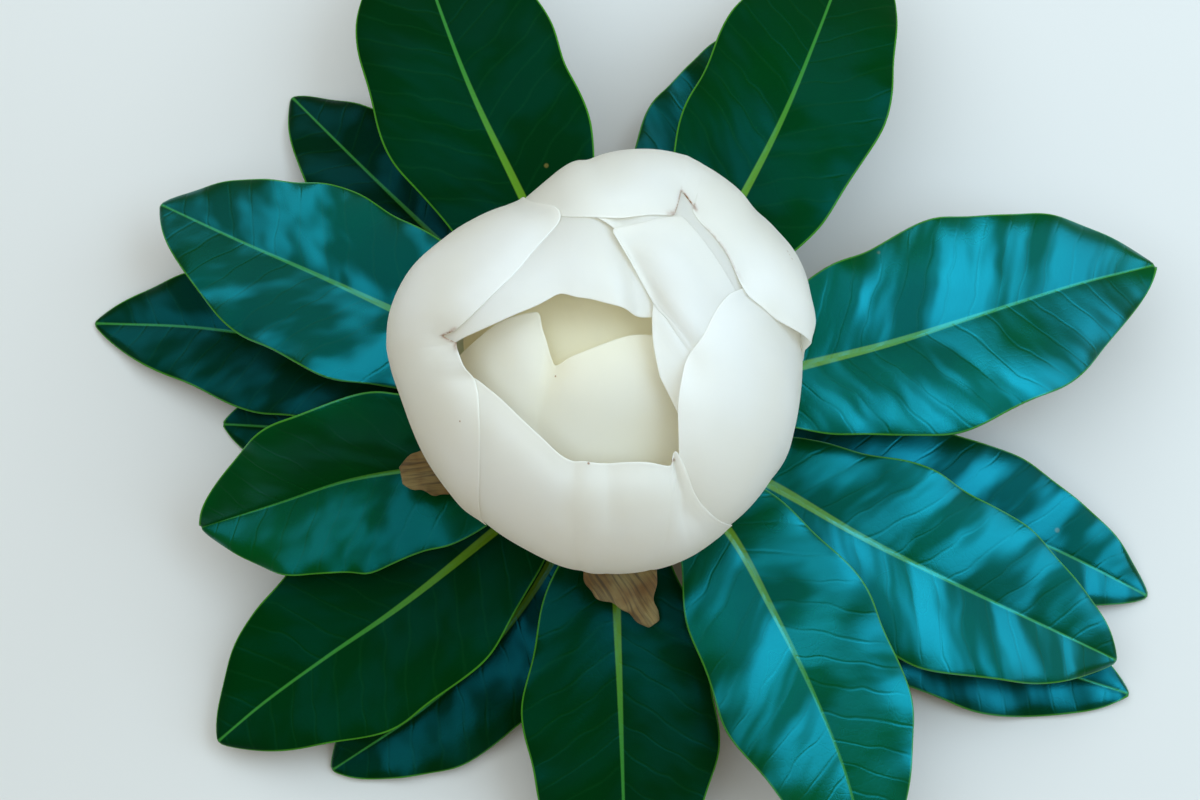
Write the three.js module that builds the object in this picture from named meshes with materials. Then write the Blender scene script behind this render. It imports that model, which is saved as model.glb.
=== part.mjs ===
// Magnolia flower, picked with the whorl of leaves that grows round it.
// Millimetres, +Z up. The cut end of the stem stands on z = 0.
// Bearings are degrees counted anticlockwise from +X, seen from above.

import * as THREE from "three";

const RAD = Math.PI / 180;

// Bloom: tepals are patches on nested, uneven balls
const SEAT = new THREE.Vector3(-3.0, 2.7, 45.0);
const LEAN = 5;
const BALL_HEIGHT = 52.0;
const BALL_MIDDLE = 48.0;
const CLAW_RADIUS = 8.8;
const CLAW_STEP = 3.4;
const CLAW_INSET = 2.2;
const TOP_SHARE = 0.9;
const TEPAL_THICK = 1.7;
const TEPAL_THIN = 0.9;
const CLAW_THICK = 2.2;
const TEPAL_ROWS = 10;

// Stem, receptacle and what it carries
const RECEPTACLE_RADIUS = 8.4;
const RECEPTACLE_TOP = 12.6;
const CORE_RADIUS = 4.4;
const CORE_TOP = 24.4;
const STEM_SIDES = 24;
const STAMEN_COUNT = 22;
const STAMEN_FOOT = 13.4;
const STAMEN_TIP = 27.0;
const CARPEL_FOOT = 24.9;
const CARPEL_TIP = 48.0;
const CARPELS_ROUND = 8;
const CARPELS_UP = 5;

// Stem below the bloom: height, radius, and the shift of its middle towards the seat
const STEM_STATIONS = [
  [0, 6.0, 0, 0], [12, 6.0, 0, 0], [26, 5.8, 0, 0], [36, 5.4, -0.8, 0.7],
  [41, 5.4, -2.2, 1.9], [43.9, 7.6, -2.9, 2.6],
];

// Leaves and bracts
const SEAT_GAP = 0.35;
const PETIOLE_HALF_WIDTH = 2.0;
const PETIOLE_THICK = 3.8;
const PETIOLE_SHARE = 0.13;
const BLADE_THICK = 1.0;
const MIDRIB_THICK = 2.4;
const LEAF_ROWS = 13;
const LEAF_COLUMNS = [-1, -0.66, -0.3, 0, 0.3, 0.66, 1];

// Widest radius of the bloom at each bearing
const GIRTH = [
  [0, 60.0], [25, 62.0], [50, 63.2], [68, 63.0], [80, 61.0],
  [92, 57.5], [103, 53.5], [114, 51.0], [126, 52.3], [140, 55.2],
  [155, 58.0], [172, 58.6], [192, 55.8], [214, 55.2], [235, 55.6],
  [250, 56.6], [268, 58.6], [288, 60.3], [310, 59.6], [332, 60.0],
];

// Margin knots run from the high bearing to the low one:
// bearing, polar angle from the top of the bloom, inset below its widest ball
const TEPALS = [
  {
    name: "tepal_outer_back", whorl: 0, claw: 70, spread: 30,
    margin: [
      [118, 92, 4], [116, 70, 4], [107, 54, 3.4], [100, 42, 2.4], [89, 34, 1.6], [79, 30, 0.8],
      [65, 31, 0.5], [57, 35, 0], [51, 43, 0], [35, 47, 0], [19, 50, 0], [10, 56, -1],
      [5, 65, -2.4], [2, 77, -2.8], [1, 96, -0.6],
    ],
    folds: [[[33, 84], [16, 88], 14, -1.7]],
  },
  {
    name: "tepal_outer_left", whorl: 0, claw: 168, spread: 32,
    margin: [
      [236, 92, 0], [234, 70, 0], [231, 57, 0], [221, 43, 0], [209, 37, 0], [198, 37, 0],
      [186, 38, 0], [180, 36, 0], [175, 31, 0], [165, 26, 0], [145, 26, 0], [127, 29, 0],
      [113, 32, 0], [101, 35, 0.5], [102, 46, 1], [109, 62, 1], [112, 92, 1],
    ],
  },
  {
    name: "tepal_outer_front", whorl: 0, claw: 262, spread: 32,
    margin: [
      [309, 92, 1], [305, 75, 0.8], [302, 58, 0.5], [306, 45, 0], [296, 41, 0], [282, 40.5, 1],
      [276, 38, 1], [269, 39.5, 1], [263, 38, 1.5], [252, 36, 2], [239, 34, 2], [222, 34, 2.5],
      [206, 37, 3], [198, 44, 3.5], [196, 64, 4], [199, 92, 4],
    ],
  },
  {
    name: "tepal_middle_right", whorl: 1, claw: -12, spread: 28,
    margin: [
      [29, 92, 5.4], [27, 76, 5.4], [23, 62, 4.4], [17, 52, 3.3], [11, 44, 3], [5, 38, 3],
      [-6, 34, 3], [-21, 31, 3], [-35, 32, 3], [-45, 37, 3], [-52, 44, 3.3], [-60, 56, 3.5],
      [-64, 70, 3.5], [-64, 92, 3.5],
    ],
  },
  {
    name: "tepal_middle_back", whorl: 2.6, claw: 58, spread: 16,
    margin: [
      [98, 92, 9], [98, 70, 9], [96, 50, 8.6], [90, 36, 8], [77, 30, 8.2], [67, 28, 8.2],
      [55, 31, 8], [40, 36, 7.8], [28, 40, 7.9], [21, 48, 8.2], [18, 62, 9], [17, 92, 10],
    ],
  },
  {
    name: "tepal_middle_left", whorl: 2.4, claw: 142, spread: 22,
    margin: [
      [198, 80, 8], [192, 60, 6], [185, 47, 4], [180, 29, 3.2], [170, 19, 3.6],
      [150, 13, 4], [121, 12, 4.4], [87, 7.5, 5.2], [40, 8.5, 6.4], [21, 13, 8], [8, 24, 9.6],
      [20, 32, 10.8], [45, 38, 11.4], [70, 48, 11.6], [90, 62, 11.6], [105, 92, 11.4],
    ],
  },
  {
    name: "tepal_inner_right", whorl: 2.2, claw: -40, spread: 10,
    margin: [
      [50, 43, 4.6], [58, 35, 4.8], [73, 28, 5], [64, 24, 5.4], [45, 22, 6], [21, 24, 6],
      [5, 22, 6], [-12, 22, 6], [-23, 24, 6], [-33, 28, 6.2],
    ],
    folds: [[[8, 60], [-40, 95], 17, -2.6]],
  },
  {
    name: "tepal_inner_front", whorl: 2.4, claw: 262, spread: 28,
    margin: [
      [345, 92, 17], [350, 60, 17], [355, 36, 16], [358, 25, 15], [356, 17, 14.5],
      [339, 10, 14.3], [262, 8, 14.3], [237, 13, 14.3], [229, 17.7, 14.3], [210, 15.4, 14],
      [184, 14, 13.7], [163, 15, 13.4], [153, 17, 13.2], [163, 24, 13], [171, 31, 13],
      [179, 44, 13.6], [184, 60, 14.4], [186, 92, 15.4],
    ],
  },
  {
    name: "tepal_inner_back", whorl: 3.2, claw: 110, spread: 28,
    margin: [
      [205, 90, 23], [215, 50, 22], [235, 30, 21], [275, 22, 21], [310, 24, 21], [335, 36, 22],
      [355, 60, 23], [2, 90, 23],
    ],
  },
];

// Leaves: bearing and height where the petiole leaves the stem, then points along the midrib.
// seat backs a slanting petiole off the stem, so its end face clears it
const LEAVES = [
  {
    name: "leaf_back_left", bearing: 113, height: 38, seat: 0.9,
    half: 31, fold: 9, roll: 0, wave: 1.2, phase: 0.0,
    midrib: [[-12, 28, 42], [-29, 64, 45], [-44, 96, 45], [-55, 126, 39], [-66, 163, 24]],
  },
  {
    name: "leaf_back_right", bearing: 60, height: 38, seat: 0.45,
    half: 29, fold: 10, roll: 0, wave: 1.2, phase: 0.9,
    midrib: [[16, 28, 42], [37, 65, 45], [49, 89, 44], [61, 119, 38], [75, 159, 23]],
  },
  {
    name: "leaf_back_low", bearing: 72, height: 23,
    half: 26, fold: 8, roll: 0, wave: 1.0, phase: 1.7,
    midrib: [[10, 27, 24], [23, 66, 20], [38, 104, 12], [50, 136, 2]], touches: true,
  },
  {
    name: "leaf_right", bearing: 12, height: 37,
    half: 32, fold: 8, roll: 0, wave: 1.3, phase: 2.4,
    midrib: [[26, 6, 41], [54, 13, 43], [80, 20, 42], [106, 29, 39], [139, 41, 32], [164, 49, 24]],
  },
  {
    name: "leaf_right_front", bearing: -27, height: 30,
    half: 28, fold: 10, roll: 0, wave: 1.2, phase: 0.4,
    midrib: [[22, -10, 32], [45, -21, 33], [73, -37, 31], [105, -52, 25], [133, -64, 18], [150, -71, 12]],
  },
  {
    name: "leaf_right_under", bearing: -10, height: 23,
    half: 23, fold: 6, roll: 0, wave: 1.0, phase: 1.3,
    midrib: [[24, -4, 23], [55, -10, 20], [90, -21, 16], [131, -36, 10], [162, -50, 2]], touches: true,
  },
  {
    name: "leaf_right_low", bearing: -36, height: 17,
    half: 25, fold: 6, roll: 0, wave: 1.0, phase: 2.1,
    midrib: [[22, -14, 16], [62, -37, 12], [100, -58, 7], [131, -72, 3], [155, -80, 1]], touches: true,
  },
  {
    name: "leaf_front_right", bearing: -57, height: 38, seat: 0.45,
    half: 28, fold: 11, roll: 0, wave: 1.2, phase: 0.7,
    midrib: [[15, -18, 41], [32, -37, 43], [45, -61, 42], [56, -83, 38], [66, -107, 31], [73, -134, 22]],
  },
  {
    name: "leaf_front", bearing: -89, height: 32,
    half: 29, fold: 10, roll: 0, wave: 1.2, phase: 1.9,
    midrib: [[0, -24, 34], [-1, -52, 33], [0, -83, 28], [1, -112, 18], [2, -146, 2]], touches: true,
  },
  {
    name: "leaf_front_left", bearing: -122, height: 20,
    half: 24, fold: 12, roll: -16, wave: 1.0, phase: 0.2,
    midrib: [[-10, -20, 20], [-22, -44, 18], [-38, -66, 13], [-58, -84, 8], [-87, -103, 2]], touches: true,
  },
  {
    name: "leaf_left_front", bearing: -139, height: 26,
    half: 30, fold: 7, roll: 0, wave: 1.3, phase: 1.1,
    midrib: [[-16, -16, 27], [-36, -33, 28], [-65, -56, 25], [-88, -71, 19], [-107, -84, 13], [-121, -95, 8]],
  },
  {
    name: "leaf_left_fold", bearing: -160, height: 34, seat: 0.35,
    half: 30, fold: 30, roll: -20, wave: 1.2, phase: 2.6,
    midrib: [[-18, -8, 36], [-40, -14, 36], [-62, -17, 37], [-81, -20, 35], [-102, -26, 30], [-126, -32, 22]],
  },
  {
    name: "leaf_left", bearing: 158, height: 36, seat: 1.0,
    half: 28, fold: 9, roll: 0, wave: 1.2, phase: 0.5,
    midrib: [[-20, 9, 40], [-44, 19, 42], [-69, 31, 42], [-91, 42, 39], [-115, 54, 33], [-141, 68, 25]],
  },
  {
    name: "leaf_left_low", bearing: 172, height: 23, seat: 0.1,
    half: 24, fold: 7, roll: 0, wave: 1.0, phase: 1.5,
    midrib: [[-26, 7, 24], [-60, 16, 21], [-95, 26, 15], [-130, 33, 8], [-164, 36, 2]], touches: true,
  },
  {
    name: "leaf_left_under", bearing: 192, height: 16,
    half: 22, fold: 6, roll: 0, wave: 0.9, phase: 2.9,
    midrib: [[-20, -3, 15], [-48, -3, 12], [-80, 0, 8], [-123, 4, 2]], touches: true,
  },
  {
    name: "leaf_back_left_low", bearing: 132, height: 21,
    half: 23, fold: 7, roll: 0, wave: 1.0, phase: 0.8,
    midrib: [[-19, 21, 21], [-50, 53, 17], [-80, 84, 10], [-104, 110, 3]], touches: true,
  },
];

// Dried bracts below the tepals
const BRACTS = [
  {
    name: "bract_left", bearing: -165, height: 41.6, seat: 0.65,
    half: 9, fold: 14, roll: -14, wave: 1.0, phase: 0.0,
    midrib: [[-24, -9, 40.4], [-42, -17, 42], [-62, -26, 45]],
  },
  {
    name: "bract_front", bearing: -88, height: 42.4, seat: 0.25,
    half: 9, fold: 24, roll: -8, wave: 1.2, phase: 1.4,
    midrib: [[-2, -24, 41.5], [1, -42, 41], [9, -63, 38]],
  },
];

const COLOURS = {
  tepal: { color: "#efede0", roughness: 0.45 },
  leaf: { color: "#1f4a2c", roughness: 0.3 },
  stem: { color: "#6b7a3c", roughness: 0.6 },
  stamens: { color: "#e6dcb0", roughness: 0.6 },
  carpels: { color: "#a9b86a", roughness: 0.6 },
  bract: { color: "#8a6238", roughness: 0.75 },
};

const flower = new THREE.Group();
flower.name = "magnolia_flower";

function ease(x) {
  const t = Math.min(Math.max(x, 0), 1);
  return t * t * (3 - 2 * t);
}

// Cubic through stations (x, y) at uneven steps; tangent slopes are given
function hermite(x, x0, y0, m0, x1, y1, m1) {
  const h = x1 - x0;
  const u = (x - x0) / h;
  const u2 = u * u;
  const u3 = u2 * u;
  return (2 * u3 - 3 * u2 + 1) * y0 + (u3 - 2 * u2 + u) * h * m0
    + (3 * u2 - 2 * u3) * y1 + (u3 - u2) * h * m1;
}

function girth(bearing) {
  const b = ((bearing % 360) + 360) % 360;
  const n = GIRTH.length;
  let k = n - 1;
  while (k > 0 && GIRTH[k][0] > b) {
    k -= 1;
  }
  const station = (i) => {
    const turn = Math.floor(i / n);
    const [x, y] = GIRTH[((i % n) + n) % n];
    return [x + 360 * turn, y];
  };
  const [p, q, r, s] = [station(k - 1), station(k), station(k + 1), station(k + 2)];
  const slopeQ = (r[1] - p[1]) / (r[0] - p[0]);
  const slopeR = (s[1] - q[1]) / (s[0] - q[0]);
  return hermite(b, q[0], q[1], slopeQ, r[0], r[1], slopeR);
}

function ballPoint(polar, bearing, inset, whorl) {
  const p = polar * RAD;
  const b = bearing * RAD;
  const wide = girth(bearing) - inset;
  let rho = wide * Math.sin(p);
  let z = BALL_MIDDLE + (BALL_HEIGHT - TOP_SHARE * inset) * Math.cos(p);
  if (polar > 90) {
    rho = CLAW_RADIUS + (wide - CLAW_RADIUS) * Math.sin(p);
    z = BALL_MIDDLE + (BALL_MIDDLE - whorl * CLAW_STEP) * Math.cos(p);
  }
  return new THREE.Vector3(rho * Math.cos(b), rho * Math.sin(b), z);
}

// Flat map of the ball: distance from the middle is the polar angle
function onMap(bearing, polar) {
  return new THREE.Vector2(polar * Math.cos(bearing * RAD), polar * Math.sin(bearing * RAD));
}

function distanceToSegment(point, from, to) {
  const along = to.clone().sub(from);
  const share = point.clone().sub(from).dot(along) / along.lengthSq();
  const foot = from.clone().addScaledVector(along, Math.min(Math.max(share, 0), 1));
  return point.distanceTo(foot);
}

function tepalGrid(tepal) {
  const knots = tepal.margin.map(([b, p, inset]) => ({ at: onMap(b, p), inset }));
  const run = [0];
  for (let i = 1; i < knots.length; i += 1) {
    run.push(run[i - 1] + knots[i].at.distanceTo(knots[i - 1].at));
  }
  const total = run[run.length - 1];
  const folds = (tepal.folds ?? []).map(([a, b, width, height]) => (
    { from: onMap(...a), to: onMap(...b), width, height }
  ));
  const grid = [];
  for (let row = 0; row <= TEPAL_ROWS; row += 1) {
    const v = row / TEPAL_ROWS;
    const grow = ease(v / 0.55);
    grid.push(knots.map((knot, i) => {
      const turn = tepal.spread * (1 - 2 * run[i] / total);
      const claw = onMap(tepal.claw + turn, 180);
      const swing = onMap(tepal.claw + 1.6 * turn, 125);
      const at = claw.multiplyScalar((1 - v) ** 2)
        .addScaledVector(swing, 2 * v * (1 - v))
        .addScaledVector(knot.at, v * v);
      let inset = tepal.whorl * CLAW_INSET * (1 - grow) + knot.inset * grow;
      for (const fold of folds) {
        inset -= fold.height * Math.exp(-((distanceToSegment(at, fold.from, fold.to) / fold.width) ** 2));
      }
      return ballPoint(at.length(), Math.atan2(at.y, at.x) / RAD, inset, tepal.whorl);
    }));
  }
  return grid;
}

// Closed blade on both sides of a middle grid; both faces split along the same diagonals
function bladeSolid(grid, thickness) {
  const rows = grid.length;
  const cols = grid[0].length;
  const upper = [];
  const lower = [];
  for (let r = 0; r < rows; r += 1) {
    for (let c = 0; c < cols; c += 1) {
      const alongRow = grid[r][Math.min(c + 1, cols - 1)].clone().sub(grid[r][Math.max(c - 1, 0)]);
      const alongCol = grid[Math.min(r + 1, rows - 1)][c].clone().sub(grid[Math.max(r - 1, 0)][c]);
      const normal = alongRow.cross(alongCol).normalize();
      const half = thickness(r / (rows - 1), c, cols) / 2;
      upper.push(grid[r][c].clone().addScaledVector(normal, half));
      lower.push(grid[r][c].clone().addScaledVector(normal, -half));
    }
  }
  const points = [...upper, ...lower];
  const shift = upper.length;
  const faces = [];
  for (let r = 0; r + 1 < rows; r += 1) {
    for (let c = 0; c + 1 < cols; c += 1) {
      const a = r * cols + c;
      const [b, d, e] = [a + 1, a + cols, a + cols + 1];
      faces.push([a, b, e], [a, e, d]);
      faces.push([a + shift, e + shift, b + shift], [a + shift, d + shift, e + shift]);
    }
  }
  const rim = [];
  for (let c = 0; c < cols - 1; c += 1) rim.push(c);
  for (let r = 0; r < rows - 1; r += 1) rim.push(r * cols + cols - 1);
  for (let c = cols - 1; c > 0; c -= 1) rim.push((rows - 1) * cols + c);
  for (let r = rows - 1; r > 0; r -= 1) rim.push(r * cols);
  rim.forEach((a, i) => {
    const b = rim[(i + 1) % rim.length];
    faces.push([b, a, a + shift], [b, a + shift, b + shift]);
  });
  return solid(points, faces);
}

// Geometry of a closed body from points and triangles, turned to face outwards
function solid(points, faces) {
  let volume = 0;
  for (const [a, b, c] of faces) {
    volume += points[a].dot(points[b].clone().cross(points[c]));
  }
  const index = faces.flatMap(([a, b, c]) => (volume > 0 ? [a, b, c] : [a, c, b]));
  const geometry = new THREE.BufferGeometry();
  geometry.setAttribute("position", new THREE.Float32BufferAttribute(points.flatMap((p) => p.toArray()), 3));
  geometry.setIndex(index);
  geometry.computeVertexNormals();
  return geometry;
}

// Closed body turned round the bloom's axis: rings of radii, with a cap at each end
function ringedSolid(rings, sides, radiusAt) {
  const points = [];
  rings.forEach(([radius, z, x = 0, y = 0, slope = 0], ring) => {
    for (let i = 0; i < sides; i += 1) {
      const turn = (2 * Math.PI * i) / sides;
      const r = radiusAt ? radiusAt(radius, ring, i) : radius;
      const [dx, dy] = [r * Math.cos(turn), r * Math.sin(turn)];
      points.push(new THREE.Vector3(x + dx, y + dy, z + dx * slope));
    }
  });
  const faces = [];
  for (let ring = 0; ring + 1 < rings.length; ring += 1) {
    for (let i = 0; i < sides; i += 1) {
      const a = ring * sides + i;
      const b = ring * sides + ((i + 1) % sides);
      faces.push([a, b, b + sides], [a, b + sides, a + sides]);
    }
  }
  return { points, faces };
}

function capEnds({ points, faces }, rings, sides) {
  const ends = [[0, rings[0]], [(rings.length - 1) * sides, rings[rings.length - 1]]];
  ends.forEach(([first, [, z, x = 0, y = 0]], end) => {
    const middle = points.push(new THREE.Vector3(x, y, z)) - 1;
    for (let i = 0; i < sides; i += 1) {
      const a = first + i;
      const b = first + ((i + 1) % sides);
      faces.push(end === 0 ? [middle, b, a] : [middle, a, b]);
    }
  });
  return solid(points, faces);
}

function add(name, geometry, kind) {
  const material = new THREE.MeshStandardMaterial({ ...COLOURS[kind], metalness: 0 });
  material.name = kind;
  const mesh = new THREE.Mesh(geometry, material);
  mesh.name = name;
  flower.add(mesh);
}

function seatInBloom(geometry) {
  geometry.rotateY(-LEAN * RAD);
  geometry.translate(SEAT.x, SEAT.y, SEAT.z);
  return geometry;
}

// Radius and middle of the stem at a height below the bloom
function stemAt(height) {
  let k = STEM_STATIONS.length - 2;
  while (k > 0 && STEM_STATIONS[k][0] > height) {
    k -= 1;
  }
  const [low, high] = [STEM_STATIONS[k], STEM_STATIONS[k + 1]];
  const share = Math.min((height - low[0]) / (high[0] - low[0]), 1);
  return low.slice(1).map((value, i) => value + (high[i + 1] - value) * share);
}

// Stem: cut twig, peduncle, and the receptacle that carries every other piece of the bloom
function stemGeometry() {
  const slope = Math.sin(LEAN * RAD);
  const inBloom = (radius, rise) => [radius, SEAT.z + rise, SEAT.x - rise * slope, SEAT.y, slope];
  const rings = [
    ...STEM_STATIONS.map(([height, radius, x, y]) => [radius, height, x, y]),
    inBloom(RECEPTACLE_RADIUS, 1.4),
    inBloom(RECEPTACLE_RADIUS, RECEPTACLE_TOP),
    inBloom(CORE_RADIUS, RECEPTACLE_TOP + 0.4),
    inBloom(CORE_RADIUS - 0.4, CORE_TOP),
  ];
  return capEnds(ringedSolid(rings, STEM_SIDES), rings, STEM_SIDES);
}

// Stamens: a ring of upright anthers, one rib each
function stamenGeometry() {
  const inner = CORE_RADIUS + 0.4;
  const rings = [
    [inner, STAMEN_FOOT],
    [7.4, STAMEN_FOOT],
    [9.6, STAMEN_FOOT + 3],
    [10.8, STAMEN_FOOT + 7],
    [11.0, STAMEN_TIP - 2],
    [10.2, STAMEN_TIP],
    [9.4, STAMEN_TIP - 1.4],
    [9.2, CARPEL_FOOT - 1.2],
    [inner, CARPEL_FOOT - 1.6],
  ];
  const sides = STAMEN_COUNT * 2;
  const ribbed = (radius, ring, i) => (ring > 1 && ring < 7 ? radius * (i % 2 ? 0.94 : 1.03) : radius);
  const { points, faces } = ringedSolid(rings, sides, ribbed);
  const last = (rings.length - 1) * sides;
  for (let i = 0; i < sides; i += 1) {
    const next = (i + 1) % sides;
    faces.push([last + i, last + next, next], [last + i, next, i]);
  }
  return solid(points, faces);
}

// Carpels: a cone of rounded bosses, in staggered rounds
function carpelGeometry() {
  const rows = CARPELS_UP * 2;
  const rings = [[4.6, CARPEL_FOOT]];
  for (let row = 0; row <= rows; row += 1) {
    const share = row / rows;
    const radius = 7.2 * Math.sqrt(Math.max(1 - share ** 2.2, 0.02)) + 0.6;
    rings.push([radius, CARPEL_FOOT + 0.8 + (CARPEL_TIP - CARPEL_FOOT - 0.8) * share]);
  }
  const sides = CARPELS_ROUND * 3;
  const bossed = (radius, ring, i) => {
    if (ring < 1) {
      return radius;
    }
    const round = Math.cos((2 * Math.PI * i * CARPELS_ROUND) / sides + Math.PI * Math.floor(ring / 2));
    return radius * (1 + 0.06 * round * (ring % 2 ? -1 : 1));
  };
  return capEnds(ringedSolid(rings, sides, bossed), rings, sides);
}

// Half width of a blade along its length: narrow petiole, widest past the middle, pointed tip
function halfWidth(share, leaf, petiole) {
  if (share <= petiole) {
    return PETIOLE_HALF_WIDTH;
  }
  const x = (share - petiole) / (1 - petiole);
  const blade = Math.sin(Math.PI * Math.min(x, 0.995) ** 1.08) ** 0.72;
  return PETIOLE_HALF_WIDTH * (1 - x) + (leaf.half - PETIOLE_HALF_WIDTH * (1 - x)) * blade;
}

function leafGrid(leaf, petiole, tipDrop) {
  const [radius, x, y] = stemAt(leaf.height);
  const out = radius + SEAT_GAP + (leaf.seat ?? 0);
  const start = new THREE.Vector3(
    x + out * Math.cos(leaf.bearing * RAD),
    y + out * Math.sin(leaf.bearing * RAD),
    leaf.height,
  );
  const points = leaf.midrib.map((p) => new THREE.Vector3(...p));
  points[points.length - 1].z += tipDrop;
  const midrib = new THREE.CatmullRomCurve3([start, ...points], false, "centripetal");
  const grid = [];
  for (let row = 0; row <= LEAF_ROWS; row += 1) {
    const share = row / LEAF_ROWS;
    const at = midrib.getPointAt(share);
    const along = midrib.getTangentAt(share);
    const open = ease((share - petiole) / 0.25);
    const side = new THREE.Vector3().crossVectors(along, new THREE.Vector3(0, 0, 1)).normalize();
    side.applyAxisAngle(along, leaf.roll * open * RAD);
    const up = new THREE.Vector3().crossVectors(side, along).normalize();
    const half = halfWidth(share, leaf, petiole);
    const rise = Math.sin(leaf.fold * open * RAD);
    const reach = Math.cos(leaf.fold * open * RAD);
    grid.push(LEAF_COLUMNS.map((u) => {
      const swell = leaf.wave * Math.sin(2 * Math.PI * 2.5 * share + leaf.phase + (u > 0 ? 1.3 : 0));
      const cup = half * (rise * Math.abs(u) - 0.1 * open * u ** 4) + swell * open * u * u;
      return at.clone().addScaledVector(side, u * half * reach).addScaledVector(up, cup);
    }));
  }
  return grid;
}

function leafGeometry(leaf, petiole) {
  const thickness = (share, column) => {
    const u = LEAF_COLUMNS[column];
    const open = ease((share - petiole * 0.8) / 0.12);
    const taper = 1 - 0.45 * share;
    const stalk = PETIOLE_THICK * Math.sqrt(1 - 0.9 * u * u);
    const blade = BLADE_THICK + (u === 0 ? (MIDRIB_THICK - BLADE_THICK) * taper : 0);
    return petiole > 0 ? stalk * (1 - open) + blade * open : BLADE_THICK;
  };
  let drop = 0;
  let geometry = bladeSolid(leafGrid(leaf, petiole, drop), thickness);
  for (let pass = 0; leaf.touches && pass < 6; pass += 1) {
    geometry.computeBoundingBox();
    drop -= geometry.boundingBox.min.z;
    geometry = bladeSolid(leafGrid(leaf, petiole, drop), thickness);
  }
  return geometry;
}

function tepalThickness(share, column, columns) {
  const side = Math.abs((2 * column) / (columns - 1) - 1);
  const edge = Math.max(ease((share - 0.6) / 0.4), ease((side - 0.5) / 0.5) * ease(share / 0.4));
  const body = CLAW_THICK + (TEPAL_THICK - CLAW_THICK) * ease(share / 0.25);
  return body + (TEPAL_THIN - body) * edge;
}

add("stem", stemGeometry(), "stem");
for (const tepal of TEPALS) {
  add(tepal.name, seatInBloom(bladeSolid(tepalGrid(tepal), tepalThickness)), "tepal");
}
add("stamens", seatInBloom(stamenGeometry()), "stamens");
add("carpels", seatInBloom(carpelGeometry()), "carpels");
for (const leaf of LEAVES) {
  add(leaf.name, leafGeometry(leaf, PETIOLE_SHARE), "leaf");
}
for (const bract of BRACTS) {
  add(bract.name, leafGeometry(bract, 0), "bract");
}

// The middle of the whole, seen from above, stands on the origin
const box = new THREE.Box3().setFromObject(flower);
const middle = box.getCenter(new THREE.Vector3());
for (const mesh of flower.children) {
  mesh.geometry.translate(-middle.x, -middle.y, -box.min.z);
}

export default flower;
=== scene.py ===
# %% [markdown]
# # A half-open magnolia, picked with its leaves
#
# The bloom of an evergreen magnolia is a ball of nine thick, waxy tepals. Each one is a
# patch of a slightly smaller ball than the one outside it, so they are all made by one
# rule here. Round them stands a whorl of leathery leaves, on a short cut stem.
# Every size is in millimetres and every angle in degrees, and MM turns them to metres.

# %% The frame and the tools
import math
from functools import partial

import bpy
import numpy as np
from mathutils import Matrix, Vector, noise


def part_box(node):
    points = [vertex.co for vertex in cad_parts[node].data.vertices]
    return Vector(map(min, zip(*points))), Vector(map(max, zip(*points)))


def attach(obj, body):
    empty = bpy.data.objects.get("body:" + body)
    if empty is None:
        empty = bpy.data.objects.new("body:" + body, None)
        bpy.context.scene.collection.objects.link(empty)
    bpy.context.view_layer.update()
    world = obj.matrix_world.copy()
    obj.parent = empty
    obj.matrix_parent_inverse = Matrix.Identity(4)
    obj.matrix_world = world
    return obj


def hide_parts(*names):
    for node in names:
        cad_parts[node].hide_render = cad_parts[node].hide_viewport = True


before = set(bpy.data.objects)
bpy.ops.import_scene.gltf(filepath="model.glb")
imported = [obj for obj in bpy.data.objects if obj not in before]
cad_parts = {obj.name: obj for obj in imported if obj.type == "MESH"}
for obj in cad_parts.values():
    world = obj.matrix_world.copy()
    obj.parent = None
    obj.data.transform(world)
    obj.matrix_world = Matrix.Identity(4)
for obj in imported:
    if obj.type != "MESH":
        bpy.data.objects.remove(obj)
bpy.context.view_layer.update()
MM = 0.001
bpy.ops.object.select_all(action="DESELECT")
print("nodes to dress:", len(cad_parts))

# %% [markdown]
# ## Where the flower stands
#
# The solid model has its middle on the origin, so the stem isn't quite there. The cut end
# of the stem is its widest place to the right and to the front, which gives the shift
# from the stem's own middle. The bloom then sits on the stem and leans a little.

# %% The stem's place and the seat of the bloom
STEM_RADIUS = 6.0
SEAT = np.array([-3.0, 2.7, 45.0])
LEAN = math.radians(5.0)
BALL_MIDDLE = 48.0

stem_low, stem_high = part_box("stem")
SHIFT = np.array([stem_high.x / MM - STEM_RADIUS, stem_low.y / MM + STEM_RADIUS, 0.0])


def in_bloom(points):
    """Points of the upright bloom, leaned and set on its seat."""
    x, y, z = np.moveaxis(np.asarray(points, float), -1, 0)
    leaned = [x * math.cos(LEAN) - z * math.sin(LEAN), y, x * math.sin(LEAN) + z * math.cos(LEAN)]
    return np.stack(leaned, -1) + SEAT + SHIFT


bloom_middle = in_bloom([0.0, 0.0, BALL_MIDDLE])
print("stem stands at", SHIFT.round(2), "and the bloom's middle is at", bloom_middle.round(1))

# %% [markdown]
# ## Camera
#
# The photograph looks down into the bloom, 12 degrees off the vertical. A camera is
# easiest to place backwards: from the point that it looks at, up along its own line of
# sight. The lens follows from how many millimetres one pixel covers at the bloom.

# %% Camera at the photograph's angle
ELEVATION = math.radians(78.0)
DISTANCE = 800.0
MM_PER_PIXEL = 0.279
IMAGE_SIZE = (1200, 800)
BLOOM_PIXEL = (595.4, 363.0)
SENSOR = 36.0

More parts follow.
